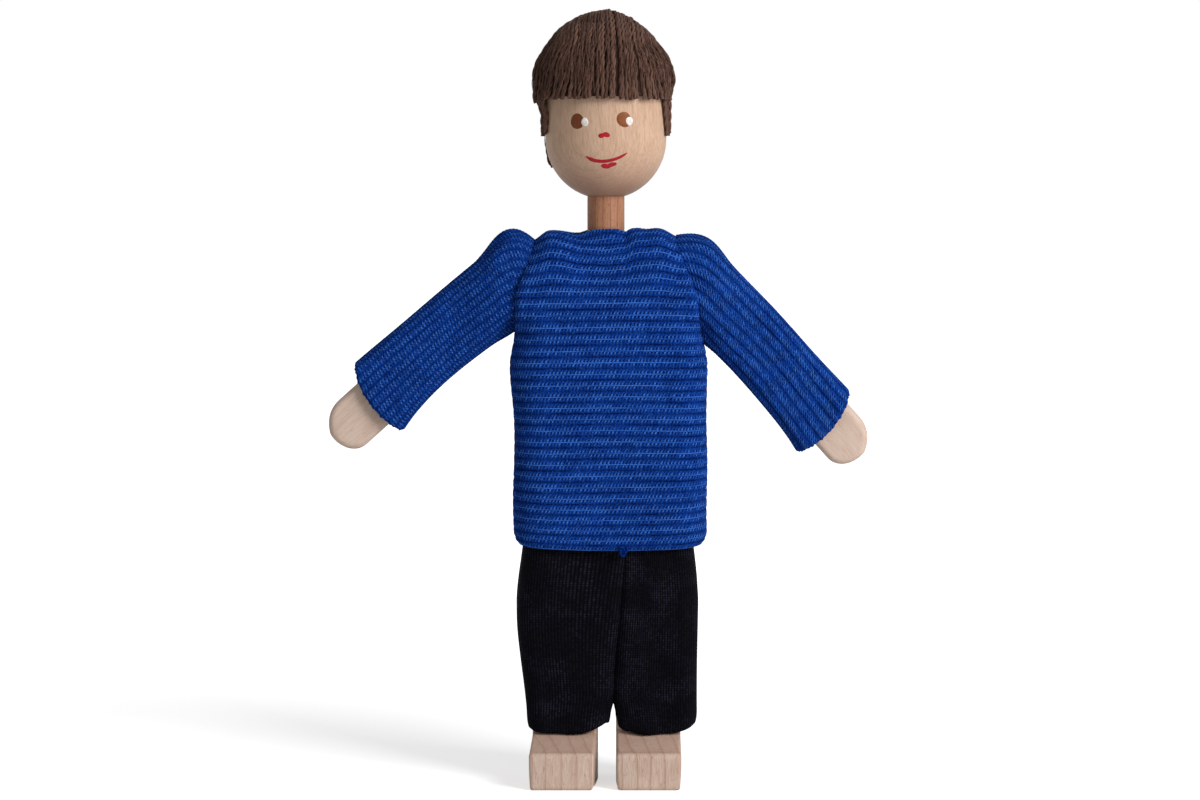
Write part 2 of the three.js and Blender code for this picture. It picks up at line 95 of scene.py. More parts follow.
# Places taken from the solid model
CHIN = joint_place("head_turn")[2]
HEAD_HIGH = node_box("head")[1]
HEAD_RADIUS = HEAD_HIGH[0]
CROWN = HEAD_HIGH[2]
LOWER_BALL = CHIN + HEAD_RADIUS
UPPER_BALL = CROWN - HEAD_RADIUS
NECK_LOW, NECK_HIGH = node_box("neck_dowel")
NECK_RADIUS = NECK_HIGH[0]
HAIR_LOW, HAIR_HIGH = node_box("hair_fringe")
HAIR_RADIUS = HAIR_HIGH[2] - UPPER_BALL
FRINGE_EDGE = HAIR_LOW[2]
NAPE = node_box("hair_back")[0][2]
LOCK_END = node_box("hair_left_lock")[0][2]
SHOULDER = joint_place("left_shoulder_swing")
HIP = joint_place("left_hip")
LEG_LOW, LEG_HIGH = node_box("left_leg")
SWEATER_LOW, SWEATER_HIGH = node_box("sweater_front")
TROUSERS_LOW = node_box("trousers_left_leg")[0]
WAIST = node_box("trousers_waistband")[1][2]
ARM_THICKNESS = node_box("left_arm")[1][1] * 2


# Sizes and colours that a user may change


def length(name, description, millimetres):
    """A length property, held in metres."""
    default = millimetres * MM
    return FloatProperty(name=name, description=description, default=default, unit="LENGTH", precision=5)


def share(name, description, default):
    """A plain factor property."""
    return FloatProperty(name=name, description=description, default=default, subtype="FACTOR")


def angle(name, description, degrees):
    """An angle property, held in radians."""
    return FloatProperty(name=name, description=description, default=math.radians(degrees), subtype="ANGLE")


def colour(name, description, red, green, blue):
    """A colour property from everyday 0 to 255 values, held as linear light."""
    linear = [((v / 255 + 0.055) / 1.055) ** 2.4 if v > 10 else v / 255 / 12.92 for v in (red, green, blue)]
    return FloatVectorProperty(
        name=name, description=description, default=linear, subtype="COLOR", min=0, max=1
    )


class DollWood(PropertyGroup):
    """Wooden pieces."""

    pale: colour("Pale wood", "Arms and legs", 205, 183, 167)
    pale_line: colour("Pale wood line", "Growth lines in the pale wood", 150, 106, 86)
    turned: colour("Turned wood", "The head", 199, 168, 142)
    brown: colour("Brown wood", "Neck dowel and pegs", 170, 120, 90)
    brown_line: colour("Brown wood line", "Growth lines in the brown wood", 112, 66, 44)
    edge: length("Edge", "Rounding of the sawn edges", 1.3)
    arm_reach: length("Arm reach", "Arm pin to fingertips", 47.2)
    arm_width: length("Arm width", "Width of the flat arms", 10.4)
    left_angle: angle("Left arm angle", "Left arm below level", 48)
    right_angle: angle("Right arm angle", "Right arm below level", 42)
    leg_edge: length("Leg edge", "Rounding of the leg's edges", 0.6)
    toe_out: angle("Toe out", "How far the right foot turns outward", 4.5)


class DollFace(PropertyGroup):
    """Painted face."""

    film: length("Paint thickness", "Height of the paint on the wood", 0.07)
    eye_width: length("Eye width", "Width of a painted eye", 2.6)
    eye_height: length("Eye height", "Height of a painted eye", 3.2)
    glint: length("Glint", "Width of the white dot in an eye", 1.45)
    mouth: length("Mouth line", "Thickness of the mouth line", 0.62)
    brown: colour("Eye brown", "Paint of the right eye", 104, 50, 16)
    # A lighter brown for the left eye: thinner paint, and painted light, as that eye is on the lit side of
    # the face.
    thin_lit_eye_brown: colour("Light eye brown", "Thinner paint of the left eye", 130, 72, 30)
    white: colour("Glint white", "Paint of the dots", 235, 230, 224)
    red: colour("Mouth red", "Paint of the nose and mouth", 168, 20, 38)


class DollHair(PropertyGroup):
    """Yarn hair."""

    strands: IntProperty(name="Strands", description="Strands across the head", default=62)
    lock_strands: IntProperty(name="Lock strands", description="Strands in a side lock", default=15)
    ply: length("Ply", "Diameter of one of the two plies", 0.54)
    pitch: length("Twist", "Length of one full twist", 4.4)
    gather: share("Gather", "How close the strands lie at the crown", 0.58)
    fan: share("Fan", "How far the strands spread to the sides", 0.62)
    bulge: length("Bulge", "How much further the hair stands out on the right side", 0.75)
    fibres: IntProperty(name="Fibres", description="Loose fibres on the front and on the back", default=420)
    pressed: share("Pressed", "How far the hair lies down between the crown and the widest level", 0.1)
    yarn: colour("Yarn", "Middle tone of the yarn", 82, 56, 46)
    light: colour("Yarn light", "Light tone of the yarn", 116, 84, 70)
    # The dark tone is painted shade in the gaps between strands and plies.
    dark: colour("Yarn dark", "Gaps between strands", 36, 22, 18)


class DollKnit(PropertyGroup):
    """Rib-knit sweater."""

    rib_low: length("Rib at hem", "Rib spacing at the hem", 1.95)
    rib_high: length("Rib at shoulder", "Rib spacing at the shoulders", 2.65)
    rib_depth: length("Rib depth", "Height of the ribs", 0.17)
    stitch: length("Stitch", "Stitch spacing along a rib", 0.71)
    stitch_depth: length("Stitch depth", "Height of the stitches", 0.13)
    slant: share("Slant", "How many stitches a stitch leans from spine to groove", 0.7)
    wall: length("Cloth", "Thickness of the knit", 0.9)
    knot: length("Knot", "Width of the knot at the hem", 2.0)
    left_ribs: IntProperty(name="Left sleeve ribs", description="Ribs round the left sleeve", default=23)
    right_ribs: IntProperty(name="Right sleeve ribs", description="Ribs round the right sleeve", default=29)
    blue: colour("Blue", "Middle tone of the knit", 8, 49, 130)
    # Light blue: painted highlight on the rib spines and raised stitch legs, and the tone of the fuzz.
    light: colour("Light blue", "Raised stitches", 62, 116, 205)
    # Dark blue: painted shade in the grooves and between stitches, and darker random patches.
    dark: colour("Dark blue", "Grooves", 0, 10, 62)


class DollJersey(PropertyGroup):
    """Jersey trousers."""

    wale: length("Wale", "Spacing of the upright knit lines", 0.58)
    course: length("Course", "Spacing of the stitches along a line", 0.48)
    wall: length("Cloth", "Thickness of the jersey", 0.6)
    fold: length("Folds", "Depth of the soft folds", 0.45)
    black: colour("Black", "Middle tone of the jersey", 6, 6, 9)
    # Colour of the painted highlight on raised stitches, and the sheen's tint.
    stitch_highlight: colour("Fleck", "Light stitches of the jersey", 60, 55, 75)


class DollStage(PropertyGroup):
    """Floor, lights and camera."""

    camera_height: length("Camera height", "Camera above the floor", 125)
    camera_distance: length("Camera distance", "Camera in front of the doll", 700)
    camera_side: length("Camera side", "Camera to the side of the doll's middle", -1.2)
    look_height: length("Look height", "Height at the middle of the picture", 77.5)
    view_width: length("View width", "Width of the picture at the doll", 243)
    floor: colour("Floor", "Colour of the floor and backdrop", 244, 244, 244)


SETTINGS = {
    "doll_wood": DollWood,
    "doll_face": DollFace,
    "doll_hair": DollHair,
    "doll_knit": DollKnit,
    "doll_jersey": DollJersey,
    "doll_stage": DollStage,
}


# Curves and surfaces


def smoothstep(low, high, value):
    """0 before low, 1 after high, and a smooth rise between."""
    rise = np.clip((value - low) / (high - low), 0, 1)
    return rise * rise * (3 - 2 * rise)


def bell(value, middle, width):
    """A bump of height 1 at the middle that fades over the width."""
    return np.exp(-(((value - middle) / width) ** 2))


def arc(centre, radius, start, end, steps):
    """Points of a circular arc, angles in degrees."""
    turn = np.radians(np.linspace(start, end, steps))
    return np.array(centre) + radius * np.stack([np.cos(turn), np.sin(turn)], axis=-1)


def bezier(corners, t):
    """Points of a cubic curve: its four corners weighted by the powers of t and 1 - t."""
    t = np.asarray(t)[:, None]
    a, b, c, d = (np.asarray(corner, float) for corner in corners)
    return a * (1 - t) ** 3 + 3 * b * t * (1 - t) ** 2 + 3 * c * t**2 * (1 - t) + d * t**3


def evenly(points, count):
    """The same line again, with a given count of points an equal length apart."""
    along = np.concatenate([[0], np.cumsum(np.linalg.norm(np.diff(points, axis=0), axis=1))])
    places = np.linspace(0, along[-1], count)
    return np.stack([np.interp(places, along, points[:, axis]) for axis in range(points.shape[1])], axis=-1)


def evenly_round(outline, count):
    """A closed outline again, with a given count of points an equal length apart."""
    return evenly(np.concatenate([outline, outline[:1]]), count + 1)[:-1]


def outward(grid, wrap_columns=False):
    """Unit normals of a grid of points: the cross product of its two directions."""
    down = np.gradient(grid, axis=0)
    if wrap_columns:
        across = (np.roll(grid, -1, axis=1) - np.roll(grid, 1, axis=1)) / 2
    else:
        across = np.gradient(grid, axis=1)
    normal = np.cross(across, down)
    return normal / np.maximum(np.linalg.norm(normal, axis=-1, keepdims=True), 1e-9)


def rounded_quarter(half_a, half_b, corner, run):
    """A quarter of a rounded rectangle by the run along it, from (0, half_b) to (half_a, 0): a straight,
    an arc of the corner's radius and a straight. Everything may be an array."""
    straight = half_a - corner
    turn = np.clip((run - straight) / corner, 0, np.pi / 2)
    fall = np.maximum(run - straight - corner * np.pi / 2, 0)
    first = np.minimum(run, straight) + corner * np.sin(turn)
    second = half_b - corner + corner * np.cos(turn) - fall
    return first, second


def rounded_ring(half_a, half_b, corner, around):
    """A whole rounded rectangle by the share of the way round, 0 at (half_a, 0), counter-clockwise: four
    mirrored quarters, each run at an even pace."""
    quarter_length = half_a + half_b - 2 * corner + corner * np.pi / 2
    quarter = np.floor(4 * around) % 4
    part = 4 * around - np.floor(4 * around)
    part = np.where(quarter % 2 == 0, 1 - part, part)
    first, second = rounded_quarter(half_a, half_b, corner, part * quarter_length)
    right = np.where((quarter == 0) | (quarter == 3), 1, -1)
    upper = np.where(quarter < 2, 1, -1)
    return right * first, upper * second


# Meshes


def grid_quads(rows, columns, wrap_rows, wrap_columns):
    """Corner numbers of a grid's quads, with each corner's row and column before wrapping."""
    row = np.arange(rows if wrap_rows else rows - 1)
    column = np.arange(columns if wrap_columns else columns - 1)
    row, column = (each.reshape(-1, 1) for each in np.meshgrid(row, column, indexing="ij"))
    row = row + np.array([0, 0, 1, 1])
    column = column + np.array([0, 1, 1, 0])
    return row % rows * columns + column % columns, row, column


def zipped(long_edge, short_edge):
    """Triangles that join a long row of corner numbers to a short one running the same way."""
    steps = len(long_edge) - 1
    mate = np.arange(len(long_edge)) * (len(short_edge) - 1) // steps
    fans = np.stack([long_edge[:-1], long_edge[1:], short_edge[mate[:-1]]], axis=-1)
    turns = np.flatnonzero(np.diff(mate))
    fills = np.stack([long_edge[turns + 1], short_edge[mate[turns] + 1], short_edge[mate[turns]]], axis=-1)
    return np.concatenate([fans, fills])


class Shell:
    """One closed skin, or many alike: points, faces of equal corner counts, pattern places and point
    values."""

    def __init__(self, points, wrap_rows=False, wrap_columns=False, pattern=None, values=None):
        """Takes rows by columns of points, or a stack of such grids. The pattern holds two numbers for
        each point, with one more row or column where the grid wraps."""
        points = np.asarray(points, float)
        stack = points[None] if points.ndim == 3 else points
        copies, rows, columns = stack.shape[:3]
        quads, row, column = grid_quads(rows, columns, wrap_rows, wrap_columns)
        offsets = np.arange(copies)[:, None, None] * rows * columns
        self.points = stack.reshape(-1, 3)
        self.faces = [(quads + offsets).reshape(-1, 4)]
        self.pattern = [None]
        if pattern is not None:
            pattern = pattern[None] if pattern.ndim == 3 else pattern
            self.pattern = [pattern[:, row, column].reshape(-1, 4, 2)]
        self.shape = stack.shape[:3]
        self.values = {}
        for name, value in (values or {}).items():
            self.values[name] = np.broadcast_to(value, self.shape).reshape(-1)

    def add_faces(self, faces):
        """More faces on the same points, all with one corner count."""
        self.faces.append(np.asarray(faces))
        self.pattern.append(None)

    def cap_ends(self):
        """Closes the first and last ring of every grid with one flat face each."""
        copies, rows, columns = self.shape
        ring = np.arange(columns)
        start = np.arange(copies)[:, None] * rows * columns
        self.add_faces((start + ring)[:, ::-1])
        self.add_faces(start + (rows - 1) * columns + ring)
        return self

    def rung_ends(self):
        """Closes the first and last ring of every grid with a ladder of faces: each point of the ring's
        first half is joined to the one as far from the ring's other end, so that a bent end stays
        smooth."""
        copies, rows, columns = self.shape
        one = np.arange(columns // 2)
        other = columns - 1 - one
        ladder = np.stack([one[:-1], one[1:], other[1:], other[:-1]], axis=-1)
        start = np.arange(copies)[:, None, None] * rows * columns
        self.add_faces((start + ladder).reshape(-1, 4)[:, ::-1])
        self.add_faces((start + (rows - 1) * columns + ladder).reshape(-1, 4))
        return self

    def turned_out(self):
        """Turns every face round if the skin holds a negative volume."""
        volume = 0
        for faces in self.faces:
            first = self.points[faces[:, 0]]
            for i in range(1, faces.shape[1] - 1):
                sides = np.cross(self.points[faces[:, i]], self.points[faces[:, i + 1]])
                volume += np.einsum("ij,ij", first, sides)
        if volume < 0:
            self.faces = [faces[:, ::-1] for faces in self.faces]
            self.pattern = [None if each is None else each[:, ::-1] for each in self.pattern]
        return self


def make_piece(name, shells, material, weld=False):
    """One object at the origin from closed skins, in metres, with smooth faces, pattern places as a UV
    map and point values as attributes."""
    mesh = bpy.data.meshes.new(name)
    shells = [each.turned_out() for each in shells]
    points = np.concatenate([each.points for each in shells])
    corners, sizes, places = [], [], []
    first = 0
    for each in shells:
        for faces, pattern in zip(each.faces, each.pattern):
            corners.append((faces + first).ravel())
            sizes.append(np.full(len(faces), faces.shape[1]))
            places.append(np.zeros((faces.size, 2)) if pattern is None else pattern.reshape(-1, 2))
        first += len(each.points)
    corners, sizes, places = (np.concatenate(each) for each in (corners, sizes, places))
    mesh.vertices.add(len(points))
    mesh.vertices.foreach_set("co", (points * MM).astype(np.float32).ravel())
    mesh.loops.add(len(corners))
    mesh.loops.foreach_set("vertex_index", corners.astype(np.int32))
    mesh.polygons.add(len(sizes))
    mesh.polygons.foreach_set("loop_start", (np.cumsum(sizes) - sizes).astype(np.int32))
    mesh.polygons.foreach_set("use_smooth", np.ones(len(sizes), bool))
    mesh.update(calc_edges=True)
    mesh.uv_layers.new(name="pattern").uv.foreach_set("vector", places.astype(np.float32).ravel())
    for value_name in shells[0].values:
        value = np.concatenate([each.values[value_name] for each in shells])
        field = mesh.attributes.new(value_name, "FLOAT", "POINT")
        field.data.foreach_set("value", value.astype(np.float32))
    if weld:
        close_poles(mesh)
    mesh.materials.append(material)
    piece = bpy.data.objects.new(name, mesh)
    bpy.context.scene.collection.objects.link(piece)
    return piece


def close_poles(mesh):
    """Merges the points that fall together where a grid ends in one point."""
    shape = bmesh.new()
    shape.from_mesh(mesh)
    bmesh.ops.remove_doubles(shape, verts=shape.verts, dist=1e-7)
    shape.to_mesh(mesh)
    shape.free()


def dress(piece, body, slot, *nodes):
    """Lets a piece ride on a body and take the place of solid nodes. The slot is not used."""
    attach(piece, body)
    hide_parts(*nodes)


def lined(skin, lining, pattern, lining_rows, wrap_columns=False):
    """A closed cloth: the rows of its outer skin, then a few rows of its lining on the way back to the
    first."""
    pick = np.linspace(len(skin) - 1, 0, lining_rows).astype(int)
    points = np.concatenate([skin, lining[pick]])
    pattern = np.concatenate([pattern, pattern[pick], pattern[:1]])
    return Shell(points, wrap_rows=True, wrap_columns=wrap_columns, pattern=pattern)


def lathe(profile, around):
    """A turned shape: each profile point, a radius and a height, carried round the upright axis."""
    turn = np.linspace(0, FULL_TURN, around, endpoint=False)
    radius, height = profile[:, 0, None], profile[:, 1, None]
    return np.stack([radius * np.cos(turn), radius * np.sin(turn), height + 0 * turn], axis=-1)


def slab(outline, half_thickness, edge):
    """A flat board: a closed outline drawn in at both faces along a quarter circle, so that its edges are
    round. The third number is the place through the thickness."""
    ahead = np.roll(outline, -1, axis=0) - np.roll(outline, 1, axis=0)
    inward = np.stack([-ahead[:, 1], ahead[:, 0]], axis=-1)
    inward /= np.linalg.norm(inward, axis=-1, keepdims=True)
    turn = np.linspace(0, np.pi / 2, 6)
    draw = np.concatenate([[1.5 * edge], edge * (1 - np.sin(turn))])
    place = np.concatenate([[half_thickness], half_thickness - edge * (1 - np.cos(turn))])
    draw = np.concatenate([draw, draw[::-1]])[:, None, None]
    place = np.concatenate([place, -place[::-1]])
    flat = outline + inward * draw
    through = np.broadcast_to(place[:, None, None], flat.shape[:2] + (1,))
    return np.concatenate([flat, through], axis=-1)


def tube(path, radius, around, closed=False):
    """A round thread: circles of the given radius, one for each path point, square to the path."""
    ahead = np.roll(path, -1, axis=0) - np.roll(path, 1, axis=0) if closed else np.gradient(path, axis=0)
    ahead /= np.linalg.norm(ahead, axis=-1, keepdims=True)
    side = np.cross(ahead, np.array([0.31, 0.87, 0.39]))
    side /= np.linalg.norm(side, axis=-1, keepdims=True)
    rise = np.cross(side, ahead)
    turn = np.linspace(0, FULL_TURN, around, endpoint=False)[:, None]
    radius = np.broadcast_to(radius, len(path))[:, None, None]
    return path[:, None] + radius * (np.cos(turn) * side[:, None] + np.sin(turn) * rise[:, None])


# Finishes


class NodeBench:
    """A node tree under construction, with short ways to add its nodes."""

    def __init__(self, tree, surface):
        self.tree = tree
        self.surface = tree.nodes[surface]

    def node(self, kind, inputs=None, **settings):
        """Adds a node, sets its fields and fills its inputs with numbers or links."""
        made = self.tree.nodes.new(kind)
        for field, value in settings.items():
            setattr(made, field, value)
        for key, value in (inputs or {}).items():
            self.feed(made.inputs[key], value)
        return made

    def feed(self, socket, value):
        """Links an output to a socket, or sets the socket's own value."""
        if isinstance(value, bpy.types.NodeSocket):
            self.tree.links.new(value, socket)
        else:
            socket.default_value = value

    def math(self, operation, *values):
        """One arithmetic step."""
        return self.node("ShaderNodeMath", dict(enumerate(values)), operation=operation).outputs[0]

    def times(self, first, second):
        """Two values multiplied."""
        return self.math("MULTIPLY", first, second)

    def zigzag(self, value):
        """A straight wave, 0 in the middle of every whole step and 1 at its ends."""
        from_middle = self.math("SUBTRACT", self.math("FRACT", value), 0.5)
        return self.times(self.math("ABSOLUTE", from_middle), 2.0)

    def ramp(self, value, low, high, bottom=0.0, top=1.0):
        """A smooth rise of a value between two marks."""
        inputs = {"Value": value, "From Min": low, "From Max": high, "To Min": bottom, "To Max": top}
        made = self.node("ShaderNodeMapRange", inputs, interpolation_type="SMOOTHSTEP")
        return made.outputs["Result"]

    def mixed(self, factor, first, second, blend="MIX"):
        """Two colours mixed."""
        made = self.node("ShaderNodeMix", data_type="RGBA", blend_type=blend)
        for index, value in ((0, factor), (6, first), (7, second)):
            self.feed(made.inputs[index], value)
        return made.outputs[2]

    def millimetres(self, turn=(0, 0, 0), stretch=(1, 1, 1)):
        """The piece's own coordinates in millimetres, turned and stretched."""
        source = self.node("ShaderNodeTexCoord").outputs["Object"]
        turned = self.node("ShaderNodeMapping", {"Vector": source, "Rotation": turn}).outputs[0]
        scale = [each / MM for each in stretch]
        return self.node("ShaderNodeMapping", {"Vector": turned, "Scale": scale}).outputs[0]

    def pattern(self):
        """The two pattern places along and across the cloth."""
        source = self.node("ShaderNodeUVMap", uv_map="pattern").outputs[0]
        split = self.node("ShaderNodeSeparateXYZ", {0: source})
        return split.outputs[0], split.outputs[1]

    def pair(self, first, second):
        """Two values as one place."""
        return self.node("ShaderNodeCombineXYZ", {0: first, 1: second}).outputs[0]

    def own(self, column, row):
        """A random number of its own for every pair of whole counts."""
        inputs = {"Vector": self.pair(column, row)}
        return self.node("ShaderNodeTexWhiteNoise", inputs, noise_dimensions="2D").outputs["Value"]

    def point_value(self, name):
        """A value held by the piece's points."""
        return self.node("ShaderNodeAttribute", attribute_name=name).outputs["Fac"]

    def seen(self):
        """1 where the camera looks, also by gloss or through glass, and 0 for the light that falls on
        things."""
        path = self.node("ShaderNodeLightPath").outputs
        straight = self.math("MAXIMUM", path["Is Camera Ray"], path["Is Glossy Ray"])
        return self.math("MAXIMUM", straight, path["Is Transmission Ray"])

    def noise(self, place, scale, detail=2.0):
        """Soft noise between 0 and 1."""
        inputs = {"Vector": place, "Scale": scale, "Detail": detail}
        return self.node("ShaderNodeTexNoise", inputs).outputs["Fac"]


class Finish(NodeBench):
    """A material under construction."""

    def __init__(self, name, **sockets):
        self.material = bpy.data.materials.new(name)
        self.material.use_nodes = True
        super().__init__(self.material.node_tree, "Principled BSDF")
        for socket, value in sockets.items():
            self.surface.inputs[socket.replace("_", " ")].default_value = value

    def bump(self, height, distance, strength=1.0):
        """Fine relief on the surface, its distance in millimetres."""
        inputs = {"Height": height, "Distance": distance * MM, "Strength": strength}
        self.feed(self.surface.inputs["Normal"], self.node("ShaderNodeBump", inputs).outputs[0])

    def paint(self, value):
        """The surface's colour."""
        self.feed(self.surface.inputs["Base Color"], value)


def rgba(value):
    """A colour property with full cover."""
    return (*value, 1)


def wood_finish(
    name, pale, line, turn=(0, 0, 0), spacing=3.0, lines=0.5, flecks=0.35, end_grain=0.0, streaks=0.42
):
    """Bare sanded wood with its grain along the turned Z: growth lines that darken slowly and end
    sharply, fine fibres, and short dark flecks. Where the surface cuts across the grain it is darker, by
    the points' own value, which on the head also paints the shade under the chin."""
    made = Finish(name, Roughness=0.58, Specular_IOR_Level=0.3)
    wander = made.noise(made.millimetres(turn, (1, 1, 0.12)), 0.16, 2)
    across = made.node("ShaderNodeSeparateXYZ", {0: made.millimetres(turn)}).outputs[0]
    ring = made.math("ADD", made.math("DIVIDE", across, spacing), made.times(wander, 0.7))
    ring = made.math("POWER", made.math("FRACT", ring), 9.0)
    fibres = made.noise(made.millimetres(turn, (5, 5, 0.35)), 1.0, 3)
    short = made.noise(made.millimetres(turn, (4.2, 4.2, 1.1)), 1.0, 1)
    short = made.ramp(short, 0.6, 0.74, 0, flecks)
    clouds = made.noise(made.millimetres(turn, (0.35, 0.35, 0.12)), 1.0, 2)
    tone = made.mixed(made.ramp(fibres, 0.3, 0.75, 0.0, streaks), rgba(pale), rgba(line))
    tone = made.mixed(made.ramp(clouds, 0.35, 0.7, 0, 0.16), tone, rgba(line))
    tone = made.mixed(made.times(ring, lines), tone, rgba(line))
    tone = made.mixed(short, tone, rgba(line))
    # End grain darkens the wood here; on the head this also paints shade under the chin.
    if end_grain:
        cut = made.times(made.point_value("end_grain"), end_grain)
        tone = made.mixed(cut, tone, rgba(line))
    made.paint(tone)
    made.bump(made.math("SUBTRACT", fibres, short), 0.03, 0.5)
    return made.material


def paint_finish(name, tone):
    """Brushed paint, a little uneven, with a soft gloss."""
    made = Finish(name, Roughness=0.4, Specular_IOR_Level=0.2)
    uneven = made.noise(made.millimetres(), 1.6, 3)
    darker = tuple(0.72 * each for each in tone) + (1,)
    made.paint(made.mixed(made.ramp(uneven, 0.3, 0.7), rgba(tone), darker))
    made.bump(made.noise(made.millimetres(), 4.0, 2), 0.02)
    return made.material


def yarn_finish(name, settings):
    """Twisted yarn, by the points' lift: painted shade in the valley between the plies and on the side
    turned to the head, lighter on top; each strand with its own tone, and fine fibre lines along the ply."""
    made = Finish(name, Roughness=0.85, Specular_IOR_Level=0.08, Sheen_Weight=0.08, Sheen_Roughness=0.5)
    lift, tone = made.point_value("lift"), made.point_value("tone")
    along, around = made.pattern()
    fibres = made.noise(made.pair(made.times(along, 0.8), made.times(around, 9.0)), 3.0, 2)
    fuzz = made.noise(made.millimetres(), 2.2, 3)
    base = made.mixed(made.ramp(tone, 0.0, 1.0), rgba(settings.yarn), rgba(settings.light))
    base = made.mixed(made.ramp(fibres, 0.3, 0.7, 0, 0.4), base, rgba(settings.dark))
    base = made.mixed(made.ramp(fuzz, 0.5, 0.75, 0, 0.5), base, rgba(settings.light))
    # Painted shade: the lower the lift, the closer to the dark tone.
    made.paint(made.mixed(made.ramp(lift, 0.0, 0.75), rgba(settings.dark), base))
    made.bump(made.math("ADD", fibres, fuzz), 0.06)
    return made.material


def knit_finish(name, settings, spine_highlight, groove_shade):
    """Rib knit: a thin spine down each rib with a painted highlight of the strength told, short stitches
    close on both sides of it, all leaning one way, with a painted highlight on their raised legs and
    painted shade in the gaps between them, and painted shade of the strength told in a soft groove between
    ribs. The pattern counts stitches along the rib and ribs across it. Every stitch has its own tone, and
    noise along a rib makes the spine's highlight and the groove's shade fade in and out."""
    made = Finish(name, Roughness=0.95, Specular_IOR_Level=0.02, Sheen_Weight=0.05, Sheen_Roughness=0.4)
    made.surface.inputs["Sheen Tint"].default_value = rgba(settings.light)
    along, across = made.pattern()
    fuzz = made.noise(made.millimetres(), 3.4, 3)
    uneven = made.math("SUBTRACT", fuzz, 0.5)
    rib_fade = made.noise(made.pair(made.times(along, 0.07), made.times(across, 0.9)), 1.0, 3)
    part = made.math("ADD", across, made.times(uneven, 0.12))
    part = made.math("SUBTRACT", made.math("FRACT", part), 0.5)
    from_spine = made.times(made.math("ABSOLUTE", part), 2.0)
    # Painted highlight along the spine of each rib, and painted shade in the groove between ribs.
    spine = made.times(made.ramp(from_spine, 0.02, 0.13, 1.0, 0.0), made.ramp(rib_fade, 0.32, 0.62, 0.25, 1.0))
    groove = made.times(made.ramp(from_spine, 0.7, 0.97), made.ramp(rib_fade, 0.35, 0.65, 1.0, 0.35))
    slant = made.math("ADD", along, made.times(part, -2 * settings.slant))
    stitch = made.math("FLOOR", made.math("ADD", slant, 0.5))
    own = made.own(stitch, made.math("FLOOR", made.times(across, 2.0)))
    slant = made.math("ADD", slant, made.times(uneven, 0.6))
    leg = made.ramp(made.zigzag(slant), 0.25, 0.8)
    beside = made.times(made.ramp(from_spine, 0.1, 0.24), made.ramp(from_spine, 0.36, 0.66, 1.0, 0.12))
    # Painted shade in the gaps between stitches.
    shaded_holes = made.times(made.ramp(leg, 0.0, 0.7, 1.0, 0.0), beside)
    shaded_holes = made.times(shaded_holes, made.ramp(fuzz, 0.35, 0.65, 1.0, 0.35))
    # Painted highlight on the raised stitch legs, with each stitch's own random tone.
    lit_stitch_legs = made.times(made.ramp(leg, 0.3, 1.0), made.ramp(own, 0.0, 1.0, 0.1, 0.85))
    lit_stitch_legs = made.times(lit_stitch_legs, beside)
    clouds = made.noise(made.millimetres(), 0.3, 2)
    tone = made.mixed(made.ramp(clouds, 0.35, 0.65, 0.0, 0.3), rgba(settings.blue), rgba(settings.dark))
    tone = made.mixed(lit_stitch_legs, tone, rgba(settings.light))
    tone = made.mixed(made.times(shaded_holes, 0.95), tone, rgba(settings.dark))
    tone = made.mixed(made.times(groove, groove_shade), tone, rgba(settings.dark))
    tone = made.mixed(made.times(spine, spine_highlight), tone, rgba(settings.light))
    made.paint(made.mixed(made.ramp(fuzz, 0.5, 0.75, 0.0, 0.32), tone, rgba(settings.light)))
    height = made.math("SUBTRACT", made.math("ADD", leg, made.times(fuzz, 0.6)), groove)
    made.bump(made.math("ADD", height, spine), 0.12, 0.8)
    return made.material


def jersey_finish(name, settings):
    """Fine jersey: upright wales of tiny stitches, nearly black, with a painted highlight on scattered
    raised stitches.
    """
    made = Finish(name, Roughness=0.9, Specular_IOR_Level=0.03, Sheen_Weight=0.04, Sheen_Roughness=0.4)
    made.surface.inputs["Sheen Tint"].default_value = rgba(settings.stitch_highlight)
    around, down = made.pattern()
    wale = made.zigzag(around)
    slant = made.math("ADD", down, made.times(wale, 0.6))
    stitch = made.ramp(made.zigzag(slant), 0.1, 0.9, 1.0, 0.25)
    height = made.times(made.ramp(wale, 0.15, 0.8, 1.0, 0.0), stitch)
    patch = made.noise(made.millimetres(), 0.16, 2)
    own = made.own(made.math("FLOOR", around), made.math("FLOOR", slant))
    # Painted highlight on the raised middle of the stitches, in patches, each stitch by its own random
    # strength.
    light = made.times(height, made.ramp(patch, 0.38, 0.72, 0.14, 0.6))
    light = made.times(light, made.ramp(own, 0.0, 1.0, 0.25, 1.0))
    made.paint(made.mixed(light, rgba(settings.black), rgba(settings.stitch_highlight)))
    made.bump(height, 0.08, 0.7)
    return made.material


# Wood: head, neck, arms and legs


def head_profile():
    """Radius and height down the head's outline: the neck's bore, its rim, the lower half ball and the
    upper one."""
    bore = NECK_RADIUS + 0.15
    rim = math.degrees(math.asin((bore + 0.1) / HEAD_RADIUS))
    bore_top = NECK_HIGH[2] + 0.3
    bore_end = LOWER_BALL - HEAD_RADIUS * math.cos(math.radians(rim))
    bevel = 0.1
    inside = [[0, bore_top], [bore - bevel, bore_top], [bore, bore_top - bevel], [bore, bore_end + 0.15]]
    lower = arc((0, LOWER_BALL), HEAD_RADIUS, rim - 90, 0, 48)
    upper = arc((0, UPPER_BALL), HEAD_RADIUS, 0, 90, 48)
    return np.concatenate([inside, lower, upper])


